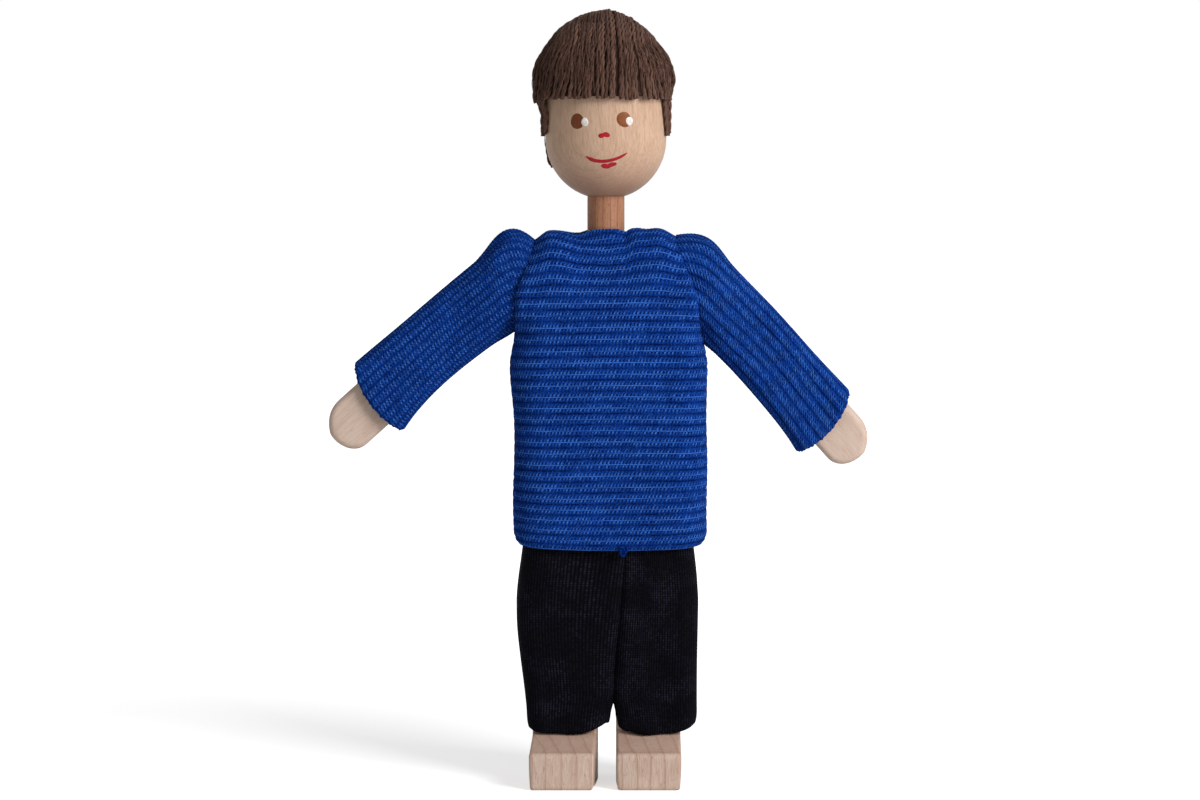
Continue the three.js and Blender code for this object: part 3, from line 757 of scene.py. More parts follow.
def on_head(x, z, lift):
    """Points on the head's front at a width and height, raised by a lift along the view from the
    front."""
    past = np.where(z < LOWER_BALL, z - LOWER_BALL, np.maximum(z - UPPER_BALL, 0))
    depth = np.sqrt(np.maximum((HEAD_RADIUS + lift) ** 2 - x**2 - past**2, 0))
    return np.stack([x, -depth, z], axis=-1)


def paint_blob(place, half_width, half_height, film, slant=0.0, pinch=0.0):
    """A patch of paint: an oval with a wavering edge, or a bow where it is pinched, swelling to the
    film's height and closed below the wood's surface."""
    turn = np.linspace(0, FULL_TURN, 48, endpoint=False)
    top, floor_rows, below_wood = np.linspace(0, 1, 9), 4, -0.3
    reach = np.concatenate([top, np.linspace(1, 0, floor_rows)])[:, None]
    lift = np.concatenate([film * (1 - top**6) - 0.01, np.full(floor_rows, below_wood)])[:, None]
    waver = 1 + 0.03 * np.cos(2 * turn + 1) + 0.025 * np.cos(3 * turn + place[0])
    across = half_width * waver * np.cos(turn)
    rise = half_height * waver * np.sin(turn) * (1 - pinch * np.sin(turn) ** 2)
    x = place[0] + reach * (across * math.cos(slant) - rise * math.sin(slant))
    z = place[1] + reach * (across * math.sin(slant) + rise * math.cos(slant))
    return Shell(on_head(x, z, lift), wrap_columns=True)


def paint_stroke(path, thickness, film):
    """A brush line: a lens-shaped section carried along a path of widths and heights, thinner at its
    ends."""
    line = evenly(np.asarray(path, float), 60)
    ahead = np.gradient(line, axis=0)
    ahead /= np.linalg.norm(ahead, axis=-1, keepdims=True)
    along = np.linspace(0, 1, len(line))
    to_end = np.minimum(along, 1 - along)
    half = thickness / 2 * (1.25 - 0.45 * along) * np.clip(8 * to_end, 0.12, 1) ** 0.5
    turn = np.linspace(0, FULL_TURN, 16, endpoint=False)
    across = half[:, None] * np.cos(turn)
    lift = np.where(np.sin(turn) > 0, film * np.sin(turn), 0.3 * np.sin(turn))
    x = line[:, 0, None] - ahead[:, 1, None] * across
    z = line[:, 1, None] + ahead[:, 0, None] * across
    return Shell(on_head(x, z, lift), wrap_columns=True).cap_ends()


def arm_outline(settings):
    """Outline of an arm from its pin, along and across: a half circle round the pin, straight sides, and
    a hand that ends in a parabola with one tight and one wide rounded corner."""
    half = settings.arm_width / MM / 2
    reach = settings.arm_reach / MM
    bulge, inner, outer = 2.2, 2.0, 4.0
    palm = reach - bulge
    low, high = inner - half, half - outer
    across = np.linspace(low, high, 40)
    tip = np.stack([reach - bulge * (across / half) ** 2, across], axis=-1)

    def corner(start, middle, end):
        """A parabola whose end tangents meet in the middle, as a cubic curve."""
        start, middle, end = (np.array(each) for each in (start, middle, end))
        first, second = start + (middle - start) * 2 / 3, end + (middle - end) * 2 / 3
        return bezier((start, first, second, end), np.linspace(0, 1, 16))

    lower = corner((palm - inner, -half), (palm, -half), tip[0])
    upper = corner(tip[-1], (palm, half), (palm - outer, half))
    back = arc((0, 0), half, 90, 270, 40)
    return np.concatenate([back, lower, tip, upper])


def arm_frame(side, below):
    """Directions along an arm, across it and through it, and the place of its pin."""
    along = np.array([side * math.cos(below), 0, -math.sin(below)])
    across = np.array([side * math.sin(below), 0, math.cos(below)])
    through = np.array([0, -side, 0])
    pin = np.array([side * abs(SHOULDER[0]), 0, SHOULDER[2]])
    return along, across, through, pin


def arm_shells(side, below, settings):
    """An arm in its place: the palm board, and two cheeks that fork round the shoulder's tongue."""
    outline = evenly_round(arm_outline(settings), 240)
    fork_end, overlap, hollow = 4.3, 2, 0.02
    slot_half, cheek_edge, inset = 1.6, 0.4, 0.02
    half = ARM_THICKNESS / 2
    palm, cheek = outline.copy(), outline.copy()
    palm[:, 0] = np.maximum(palm[:, 0], fork_end - hollow * np.abs(palm[:, 1]) ** 2)
    cheek[:, 0] = np.minimum(cheek[:, 0], fork_end + overlap - hollow * np.abs(cheek[:, 1]) ** 2)
    cheek_half = (half - slot_half) / 2
    cheek_board = slab(evenly_round(cheek, 120), cheek_half, cheek_edge)
    boards = [slab(evenly_round(palm, 240), half, settings.edge / MM)]
    boards += [cheek_board + np.array([0, 0, way * (half - cheek_half - inset)]) for way in (1, -1)]
    along, across, through, pin = arm_frame(side, below)
    made = []
    for board in boards:
        placed = pin + board[..., :1] * along + board[..., 1:2] * across + board[..., 2:] * through
        made.append(Shell(placed, wrap_columns=True).cap_ends())
    return made


def leg_outline():
    """Outline of a leg from the side, depth and height: rounded heel, half circle at the hip, shin,
    slanting instep and rounded toe."""
    half = LEG_HIGH[1]
    toe = LEG_LOW[1]
    heel, toe_round, toe_height, toe_foot, instep = 2.0, 1.1, 7.6, 0.7, 10.6
    heel_arc = arc((half - heel, heel), heel, -90, 0, 14)
    hip = arc((0, HIP[2]), half, 0, 180, 40)
    shin = np.array([[-half, instep + 0.5], [-half - 0.5, instep - 0.1]])
    toe_top = arc((toe + toe_round, toe_height - toe_round), toe_round, 80, 180, 14)
    sole = arc((toe + toe_foot, toe_foot), toe_foot, 180, 270, 6)
    return np.concatenate([heel_arc, hip, shin, toe_top, sole])


def leg_shell(side, settings):
    """A leg board drawn out across the doll, its foot turned outward a little on the right side."""
    outline = evenly_round(leg_outline(), 320)
    outline = np.roll(outline, -np.argmax(outline[:, 1]), axis=0)
    half = (LEG_HIGH[0] - LEG_LOW[0]) / 2
    board = slab(outline, half, settings.leg_edge / MM)
    depth, height, across = board[..., 0], board[..., 1], board[..., 2]
    x = side * (LEG_LOW[0] + half) + across
    if side < 0:
        outset, ankle = 0.5, -3
        turned = outset + math.tan(settings.toe_out) * np.minimum(depth - ankle, 0)
        x = x + turned * smoothstep(14, 9, height)
    narrow = 0.03 * smoothstep(5, 0, height) * across * smoothstep(-8, -12, depth)
    instep_height, instep_slope = 12.3, 0.33
    on_instep = smoothstep(1.2, 0.4, np.abs(height - instep_height - instep_slope * depth))
    on_instep = on_instep * smoothstep(LEG_LOW[1] + 0.3, LEG_LOW[1] + 1, depth)
    placed = np.stack([x - narrow, depth, height], axis=-1)
    return Shell(placed, wrap_columns=True, values={"end_grain": on_instep}).rung_ends()


# Hair


def hair_reach(radius, rise, settings, least):
    """Radius of the hair by the rise of its direction: smaller between the crown and the widest level, as
    the product of the rise's square and the rest, and never under the least."""
    return np.maximum(radius * (1 - settings.pressed * 4 * rise**2 * (1 - rise**2)), least)


def close_fit(radius, height):
    """How far the hair lies closer to the wood below the fringe's edge."""
    return 0.65 * (radius - HEAD_RADIUS - 0.35) * smoothstep(FRINGE_EDGE, FRINGE_EDGE - 5, height)


def strand_paths(azimuth, end, radius, settings, steps):
    """Strand paths on the head, one for each azimuth from the front: a great circle from the parting on
    the crown down to the widest level, then down and outward in a fan, and inward with the lower ball.
    They start below the others beyond the parting, and on the left side they end tucked in. All have the
    same step count."""
    side = np.sin(azimuth)
    from_middle = np.arcsin(side)
    crown_tilt = np.arcsin(np.clip(settings.gather * side, -0.98, 0.98))
    overlap = 2.5
    crown = np.stack([np.sin(crown_tilt), 0 * side, np.cos(crown_tilt)], axis=-1)
    level = np.stack([side, -np.cos(azimuth), 0 * side], axis=-1)
    sweep = np.arccos(np.clip(np.einsum("ij,ij->i", crown, level), -1, 1))[:, None]
    fall = (UPPER_BALL - end)[:, None]
    run = np.linspace(0, 1, steps) * (sweep * radius + fall + overlap) - overlap
    turned = np.minimum(run / radius, sweep)[..., None]
    direction = np.sin(sweep[..., None] - turned) * crown[:, None] + np.sin(turned) * level[:, None]
    direction /= np.sin(sweep[..., None])
    spread = settings.fan * from_middle * np.abs(np.sin(2 * from_middle)) * np.sign(np.cos(azimuth))
    way_down = np.clip(run / (sweep * radius + fall), 0, 1)
    spread = spread[:, None] * (1 - way_down) * smoothstep(0, 0.45, way_down)
    across, back = direction[..., 0].copy(), direction[..., 1].copy()
    direction[..., 0] = across * np.cos(spread) + back * np.sin(spread)
    direction[..., 1] = back * np.cos(spread) - across * np.sin(spread)
    drop = np.maximum(run - sweep * radius, 0)
    height = UPPER_BALL - drop
    tucked = smoothstep(1.05, 1.35, from_middle)[:, None] * smoothstep(fall - 6, fall, drop)
    parting_sink, tuck_depth = 0.9, 0.75 * (radius - HEAD_RADIUS - 0.5)
    sunk = parting_sink * smoothstep(0, -overlap, run) + tuck_depth * tucked
    bulge = settings.bulge / MM * smoothstep(0, 1, -side)[:, None]
    bulge = bulge * smoothstep(FRINGE_EDGE - 3.5, FRINGE_EDGE - 0.5, height)
    sunk = sunk - bulge + close_fit(radius, height)
    below = np.maximum(LOWER_BALL - height, 0)
    drawn_in = np.sqrt(np.maximum(1 - (below / radius) ** 2, 0.2))[..., None]
    tuck = drawn_in * np.array([1, 1, 0]) + np.array([0, 0, 1])
    hanging = height < UPPER_BALL - 0.01
    normal = direction * np.where(hanging[..., None], tuck, 1)
    reach = hair_reach(radius, direction[..., 2:], settings, HEAD_RADIUS + 0.3) - sunk[..., None]
    path = np.array([0, 0, UPPER_BALL]) + reach * normal
    path[..., 2] = np.where(hanging, height, path[..., 2])
    return path, direction


def strands(path, normal, ply, pitch, phase, tone, sides=12):
    """Two-ply twisted strands: a section of two joined circles that turns steadily as it runs along each
    path."""
    ahead = np.gradient(path, axis=1)
    step = np.linalg.norm(ahead, axis=-1)
    ahead /= step[..., None]
    out = normal - np.einsum("ijk,ijk->ij", normal, ahead)[..., None] * ahead
    out /= np.linalg.norm(out, axis=-1, keepdims=True)
    beside = np.cross(ahead, out)
    ply_radius = ply / 2
    apart = 0.55 * ply_radius
    turn = np.linspace(0, FULL_TURN, sides, endpoint=False)
    section = apart * np.abs(np.cos(turn)) + np.sqrt(ply_radius**2 - (apart * np.sin(turn)) ** 2)
    length_along = np.cumsum(step, axis=1)
    pitch = pitch * (1 + 0.2 * np.sin(7 * phase))
    twist = phase[:, None] + FULL_TURN * length_along / pitch[:, None]
    facing = twist[..., None] + turn
    swell = 1 + 0.06 * np.sin(length_along * 1.7 + 5 * phase[:, None])
    reach = section * swell[..., None]
    points = path[:, :, None] + (reach * np.cos(facing))[..., None] * out[:, :, None]
    points = points + (reach * np.sin(facing))[..., None] * beside[:, :, None]
    # Lift for the painted shade: low in the valley between the two plies and on the side turned to the
    # head.
    lift = np.broadcast_to((section - section.min()) / np.ptp(section), reach.shape)
    depth = 0.5 + 0.5 * np.cos(facing)
    around = np.broadcast_to(np.linspace(0, 2, sides + 1), reach.shape[:2] + (sides + 1,))
    pattern = np.stack([np.broadcast_to(length_along[..., None], around.shape), around], axis=-1)
    values = {"lift": 0.55 * lift + 0.45 * depth, "tone": np.broadcast_to(tone[:, None, None], reach.shape)}
    return Shell(points, wrap_columns=True, pattern=pattern, values=values).cap_ends()


def loose_fibres(azimuth, end, radius, settings, rng):
    """Short loose fibres lying on the hair: a piece of a strand's path, turned a little to one side,
    lowest at its two ends."""
    count, steps, strand_steps = len(azimuth), 9, 120
    path, normal = strand_paths(azimuth, end, radius, settings, strand_steps)
    first = rng.integers(18, 96, count)[:, None]
    span = rng.integers(10, 24, count)[:, None]
    picks = first + np.linspace(0, 1, steps) * span
    picks = np.minimum(picks.astype(int), strand_steps - 1)[..., None]
    path, normal = (np.take_along_axis(each, picks, axis=1) for each in (path, normal))
    share_along = np.linspace(0, 1, steps)[:, None]
    lift = 0.22 * np.sin(np.pi * share_along) + rng.uniform(-0.05, 0.15, (count, 1, 1))
    lean = rng.normal(0, 0.45, (count, 1, 1)) * (share_along - 0.5)
    path = path + normal * lift + np.cross(normal, np.array([0, 0, 1.0])) * lean
    phase, tone = rng.uniform(0, 6, count), rng.uniform(0.2, 1, count)
    return strands(path, normal, ply=0.13, pitch=30, phase=phase, tone=tone, sides=5)


def shaded_hair_cap(radius, settings):
    """A dark cap under the strands, coloured with the yarn's painted shade to stand for the shade between
    the strands: it follows the hair down to an edge that is high in front and low behind, and its inside on
    the wood."""
    around = np.linspace(0, FULL_TURN, 96, endpoint=False)
    from_front = np.arccos(np.cos(around))
    front_edge, back_edge = FRINGE_EDGE + 0.1, NAPE + 1.5
    side_from, side_to = 1.95, 2.3
    edge = front_edge + (back_edge - front_edge) * smoothstep(side_from, side_to, from_front)
    down = np.linspace(0, 1, 40)[:, None]

    def skin(radius, least):
        """One side of the cap: over the upper ball, down past the widest level and in with the lower
        ball."""
        run = down * (radius * np.pi / 2 + UPPER_BALL - edge)
        tilt = np.minimum(run / radius, np.pi / 2)
        reach = hair_reach(radius, np.cos(tilt), settings, least)
        height = UPPER_BALL + reach * np.cos(tilt) - np.maximum(run - radius * np.pi / 2, 0)
        below = np.maximum(LOWER_BALL - height, 0)
        out = np.where(below > 0, np.sqrt(np.maximum(radius**2 - below**2, 1)), reach * np.sin(tilt))
        out = out - np.maximum(close_fit(radius, height), 0)
        return np.stack([out * np.sin(around), -out * np.cos(around), height], axis=-1)

    inside = HEAD_RADIUS + 0.05
    points = np.concatenate([skin(radius, HEAD_RADIUS + 0.15), skin(inside, inside)[::-1]])
    # A low lift and no tone of its own give the cap mostly the yarn's dark painted-shade tone.
    return Shell(points, wrap_columns=True, values={"lift": 0.3, "tone": 0.0})


# Sweater


def knit_relief(along, across, settings):
    """Height of the knit: round-backed ribs, each with a raised spine and stitches on both sides of it
    that all lean one way, each with its own height. Along counts stitches and across ribs."""
    part = across - np.floor(across) - 0.5
    from_spine = 2 * np.abs(part)
    rib = -0.6 * from_spine**3.5 - 0.4 * smoothstep(0.7, 1, from_spine) + 0.15 * bell(from_spine, 0, 0.12)
    slant = along - 2 * settings.slant * part
    own = np.sin(12.9898 * np.floor(slant + 0.5) + 78.233 * np.floor(2 * across)) * 43758.5453
    own = 0.5 + 0.5 * (own - np.floor(own))
    stitch = own * np.cos(FULL_TURN * slant)
    stitch = stitch * smoothstep(0.08, 0.22, from_spine) * smoothstep(0.75, 0.4, from_spine)
    return settings.rib_depth / MM * rib + settings.stitch_depth / MM / 2 * stitch


def soft_waves(a, b, seed, count=5, scale=1.0):
    """Gentle unevenness: a few sine waves in seeded directions, between about -1 and 1."""
    rng = np.random.default_rng(seed)
    total = 0
    for _ in range(count):
        heading = rng.uniform(0, FULL_TURN)
        speed = rng.uniform(0.12, 0.32) * scale
        start = rng.uniform(0, FULL_TURN)
        total = total + np.sin(speed * (a * math.cos(heading) + b * math.sin(heading)) + start)
    return total / count


def sweater_profile():
    """Depth and height up the sweater's middle: straight from the hem, then a squarish arch over to the
    shoulder line. Given with the run along it."""
    arch_start = SWEATER_HIGH[2] - 18.8
    top = SWEATER_HIGH[2] - 1.0
    depth = -SWEATER_LOW[1]
    turn = np.linspace(0, np.pi / 2, 400)
    power = 2 / 3.2
    out = depth * np.cos(turn) ** power
    up = arch_start + (top - arch_start) * np.sin(turn) ** power
    line = np.concatenate([[[depth, SWEATER_LOW[2]]], np.stack([out, up], axis=-1)])
    run = np.concatenate([[0], np.cumsum(np.linalg.norm(np.diff(line, axis=0), axis=1))])
    return run, line[:, 0], line[:, 1], arch_start - SWEATER_LOW[2]


# The armhole's oval: height of its middle, half its height and half its depth
ARMHOLE_MIDDLE, ARMHOLE_HALF_HEIGHT, ARMHOLE_HALF_DEPTH = 101, 10.3, 9.0

# Soft bumps and dips along the shoulder line: rise, place across and width
SHOULDER_BUMPS = ((0.5, -10.6, 2.6), (0.5, 6, 2.0), (0.45, 10.4, 1.8), (-0.55, 3.9, 0.9), (-0.3, -5.6, 1.8))


def armhole_seam(height):
    """How far out the sweater's side lies at a height: drawn in below the armhole, and sloping in to the
    shoulder."""
    return SWEATER_HIGH[0] - 0.9 * smoothstep(84, 93, height) - 4.4 * smoothstep(97, 113, height)


def sweater_panel(facing, settings, seed):
    """Front (-1) or back (1) panel. Rows follow the profile from hem to shoulder, and columns the rounded
    section from one side seam to the other. The sides stop at the armhole's oval, and the top at a circle
    round the neck. Ribs and stitches stand out along the normal, and a smooth lining closes the skin."""
    rows, columns, lining_rows = 330, 270, 14
    run, depth_line, height_line, straight = sweater_profile()
    whole = run[-1]
    v = np.linspace(0, 1, rows)[:, None]
    u = np.linspace(-1, 1, columns)[None]
    top_half, neck_depth, neck_half = 15.0, 4.7, 8.5
    scoop = neck_depth * np.maximum(1 - (top_half * u / neck_half) ** 2, 0) ** 2
    end = np.interp(-np.maximum(scoop, 0.05), -depth_line, run)
    bend = straight + 6
    along_run = whole * v
    shortened = bend + (along_run - bend) * (end - bend) / (whole - bend)
    along_run = np.where(along_run > bend, shortened, along_run)
    depth = np.interp(along_run, run, depth_line)
    height = np.interp(along_run, run, height_line)
    ribs = whole / (settings.rib_high - settings.rib_low) * MM
    growth = (settings.rib_high - settings.rib_low) / settings.rib_low
    rib_run = whole * v + 0.6 * (along_run - whole * v)
    hem_spine = 0.4
    rib_count = hem_spine + ribs * np.log1p(growth * rib_run / whole)
    rib_count = rib_count + 0.22 * soft_waves(20 * u, whole * v, seed + 5, scale=0.8)

    side_corner = 6.5
    corner = np.minimum(side_corner, 0.98 * depth)
    from_middle = (height - ARMHOLE_MIDDLE) / ARMHOLE_HALF_HEIGHT
    opening = ARMHOLE_HALF_DEPTH * np.sqrt(np.maximum(1 - from_middle**2, 0))
    seam_x = armhole_seam(height)
    end_turn = np.arccos(np.clip((opening - depth + corner) / corner, 0, 1))
    width = seam_x + corner * (1 - np.sin(end_turn))
    to_arc = width - corner
    past_arc = to_arc + corner * np.pi / 2 + depth - corner - opening
    half_run = np.where(opening > depth - corner, to_arc + corner * end_turn, past_arc)
    x, y = rounded_quarter(width, depth, corner, np.abs(u) * half_run)
    x = np.sign(u) * x
    arch_share = smoothstep(straight, whole, along_run)
    shoulder_line = sum(rise * bell(x, middle, wide) for rise, middle, wide in SHOULDER_BUMPS)
    shoulder_drop = np.where(x < 0, 1.7, 0.9)
    shoulder_line = shoulder_line - shoulder_drop * smoothstep(11.4, 15.2, np.abs(x))
    rim = 1.4 * bell(end - along_run, 0, 2.0) * bell(x, -0.4, 5)
    hem_dip = -1.4 * (1 - u**2) * smoothstep(30, 0, along_run) + 0.9 * u**8 * smoothstep(7, 0, along_run)
    z = height + arch_share * shoulder_line + rim + hem_dip
    x = x * (1 - 0.025 * smoothstep(3.5, 0, along_run) ** 2)
    x = x + 0.9 * smoothstep(97, 82, z) - 0.45 * bell(z, 84, 5.5) * smoothstep(-9, -17, x)
    base = np.stack([x, facing * y, z], axis=-1)

    normal = outward(base) * -facing
    stitch_count = u * half_run / (settings.stitch / MM) + 0.35 * soft_waves(x, z, seed + 9, scale=3)
    relief = knit_relief(stitch_count, rib_count, settings) * (1 - 0.65 * smoothstep(0.85, 1, np.abs(u)))
    waves = 0.6 * soft_waves(x, z, seed) * smoothstep(0, 6, along_run)
    pleats = 0.5 * bell(x, -9.5, 3.2) * bell(z, 105, 7) + 0.5 * bell(x, 10, 3.2) * bell(z, 106, 7)
    hollow = -0.7 * bell(x, 0.5, 5) * bell(z, 104, 5)
    hem = -0.5 * (1 - smoothstep(0, 0.8, along_run))
    arm_side = smoothstep(89, 96, z)
    lip = 0.5 * arm_side * smoothstep(108, 100, z)
    seam = -(0.3 + 1.15 * arm_side) * smoothstep(0.965, 1, np.abs(u)) + lip * bell(np.abs(u), 0.9, 0.07)
    shift = waves + pleats + hollow
    skin = base + normal * (relief + shift + hem + seam)[..., None]

    lining = base + normal * (shift - settings.wall / MM)[..., None]
    made = lined(skin, lining, np.stack([stitch_count, rib_count], axis=-1), lining_rows)
    number = np.arange(len(made.points)).reshape(-1, columns)
    for column, way in ((0, -1), (columns - 1, 1)):
        edge = zipped(number[:rows, column], number[rows:, column][::-1])
        made.add_faces(edge[:, ::way])
    return made


def armhole_facing(side, facing, settings):
    """Half of the strip sewn inside an armhole, which closes it round the turning sleeve: straight lines
    from an oval behind the armhole's edge in to a circle round the shoulder's axis, given the cloth's
    thickness."""
    wall = settings.wall / MM
    turn = np.linspace(0, np.pi, 48)
    rise, out = np.cos(turn), np.sin(turn)
    outer_down, outer_up, outer_depth = 10.9, 9.3, 9.6
    inner_place, inner_radius, mean_radius = 16.2, 6.9, 7
    outer_height = ARMHOLE_MIDDLE + np.where(rise < 0, outer_down, outer_up) * rise
    outer = np.stack([armhole_seam(outer_height) - 2 * wall, outer_depth * out, outer_height], axis=-1)
    inner = [0 * turn + inner_place, inner_radius * out, SHOULDER[2] + inner_radius * rise]
    inner = np.stack(inner, axis=-1)
    inward = np.linspace(0, 1, 8)
    section = np.concatenate([inward, inward[::-1]])
    points = outer[:, None] + (inner - outer)[:, None] * section[:, None]
    points[..., 0] -= np.repeat([0, wall], len(inward))
    stitches = mean_radius * turn / (settings.stitch / MM)
    places = np.meshgrid(stitches, 2 * np.append(section, section[0]), indexing="ij")
    points = points * [side, facing, 1]
    return Shell(points, wrap_columns=True, pattern=np.stack(places, axis=-1)).cap_ends()


def hem_knot(size):
    """The tied-off thread at the front hem: a trefoil, (sin t + 2 sin 2t, cos t - 2 cos 2t, -sin 3t), and
    two loose ends that curl away from it."""
    place = np.array([3.4, SWEATER_LOW[1] - 0.1, SWEATER_LOW[2] - 1.3])
    turn = np.linspace(0, FULL_TURN, 72, endpoint=False)
    loop = [np.sin(turn) + 2 * np.sin(2 * turn), -np.sin(3 * turn), np.cos(turn) - 2 * np.cos(2 * turn)]
    knot = tube(place + size / 6 * np.stack(loop, axis=-1), 0.2 * size / 1.6, 8, closed=True)
    ends = []
    for way, reach in ((1, 1.5), (-1, 1.1)):
        steps = ((0, 0, 0), (way * 0.7, -0.4, 0.1), (way * reach, -0.3, 0.4), (way * reach, 0.1, 0.6))
        path = bezier([place + step for step in steps], np.linspace(0, 1, 20))
        ends.append(Shell(tube(path, 0.15, 8), wrap_columns=True).cap_ends())
    return [Shell(knot, wrap_rows=True, wrap_columns=True), *ends]


# Each sleeve's edges: heights at the armhole, and places along and across the arm from its pin
SLEEVE_CUTS = {
    "left": {
        "cap_start": 111.0,
        "cap_height": 112.0,
        "cap_end": (0.3, 6.6),
        "cuff_top": (36.1, 7.2),
        "under": 90.5,
        "flare": (26.8, -6.6),
        "cuff_low": (38.0, -9.2),
    },
    "right": {
        "cap_start": 109.9,
        "cap_height": 115.5,
        "cap_end": (2.1, 7.5),
        "cuff_top": (34.0, 8.7),
        "under": 92.8,
        "flare": (26.8, -5.2),
        "cuff_low": (35.7, -8.1),
    },
}


def sleeve_shell(name, below, ribs, settings, seed):
    """A sleeve: rings between an upper edge that rises to a puffed cap and runs down the arm, and a lower
    edge that flares at the cuff. The section goes from a circle in the armhole to a soft rounded oblong
    at the cuff, whose faces reach further than its corners, with ribs along it."""
    rows, around_count, lining_rows = 230, 252, 10
    side = SIDES[name]
    along, across, through, pin = arm_frame(side, below)
    cut = SLEEVE_CUTS[name]

    def place(out, rise):
        """A point beside the arm by its place along and across it."""
        return pin + along * out + across * rise

    start_x, start_low = side * 14.2, 93.4
    cap_top, underarm = (side * 20.3, 0, cut["cap_height"]), (side * 19.2, 0, cut["under"])
    cap_end = place(*cut["cap_end"])
    cap = ((start_x, 0, cut["cap_start"]), cap_top, cap_end - 5 * along, cap_end)
    upper = np.concatenate([bezier(cap, np.linspace(0, 1, 80)), [place(*cut["cuff_top"])]])
    lower = ((start_x, 0, start_low), underarm, place(*cut["flare"]), place(*cut["cuff_low"]))
    lower = bezier(lower, np.linspace(0, 1, 80))
    upper, lower = evenly(upper, rows), evenly(lower, rows)
    v = np.linspace(0, 1, rows)
    flat = smoothstep(0.0, 0.6, v)
    middle = (upper + lower) / 2
    rise = upper - lower
    half_width = np.linalg.norm(rise, axis=-1)[:, None] / 2
    rise = rise[:, None] / (2 * half_width[..., None])
    armhole_depth, puff, flattening, squareness, cuff_bow = 7.8, 1.3, 2.05, 0.42, 1.9
    half_depth = (armhole_depth + puff * bell(v, 0.22, 0.16) - flattening * flat)[:, None]
    corner = np.minimum(half_depth, half_width) * (1 - squareness * flat[:, None])
    around = np.linspace(0, 1, around_count, endpoint=False)[None]
    up, out = rounded_ring(half_width, half_depth, corner, around)
    bow = cuff_bow * (1 - (up / half_width) ** 2) * smoothstep(0.7, 1, v)[:, None]
    base = middle[:, None] + up[..., None] * rise + out[..., None] * through + bow[..., None] * along

    normal = outward(base, wrap_columns=True)
    normal *= np.sign(np.einsum("ijk,ijk", normal, base - middle[:, None]))
    length_along = np.cumsum(np.linalg.norm(np.diff(base, axis=0, prepend=base[:1]), axis=-1), axis=0)
    turn = FULL_TURN * around
    stitch_count = length_along / (settings.stitch / MM)
    stitch_count = stitch_count + 0.4 * soft_waves(8 * np.cos(turn), length_along, seed + 2, scale=2)
    rib_count = ribs * around + 0.3 * soft_waves(8 * np.cos(turn) + 9 * np.sin(turn), length_along, seed)
    relief = knit_relief(stitch_count, rib_count, settings) * (0.85 - 0.5 * smoothstep(0.95, 1, v)[:, None])
    waves = soft_waves(length_along, 8 * np.cos(turn), seed + 1, scale=1.3)
    waves = 0.25 * waves * smoothstep(0.15, 0.4, v)[:, None]
    puckers = 0.35 * bell(v, 0.16, 0.09)[:, None] * np.cos(9 * turn + 1.0)
    cuff = -0.45 * smoothstep(0.985, 1, v)[:, None]
    skin = base + normal * (relief + waves + puckers + cuff)[..., None]
    ragged = np.sin(31 * turn) * np.sin(13 * turn + 2)
    ragged = 0.2 * ragged * smoothstep(0.965, 1, v)[:, None]
    skin = skin + ragged[..., None] * along

    lining = base + normal * (waves - settings.wall / MM)[..., None]
    wrapped = np.concatenate([rib_count, rib_count[:, :1] + ribs], axis=1)
    stitches = np.concatenate([stitch_count, stitch_count[:, :1]], axis=1)
    return lined(skin, lining, np.stack([stitches, wrapped], axis=-1), lining_rows, wrap_columns=True)


# Trousers


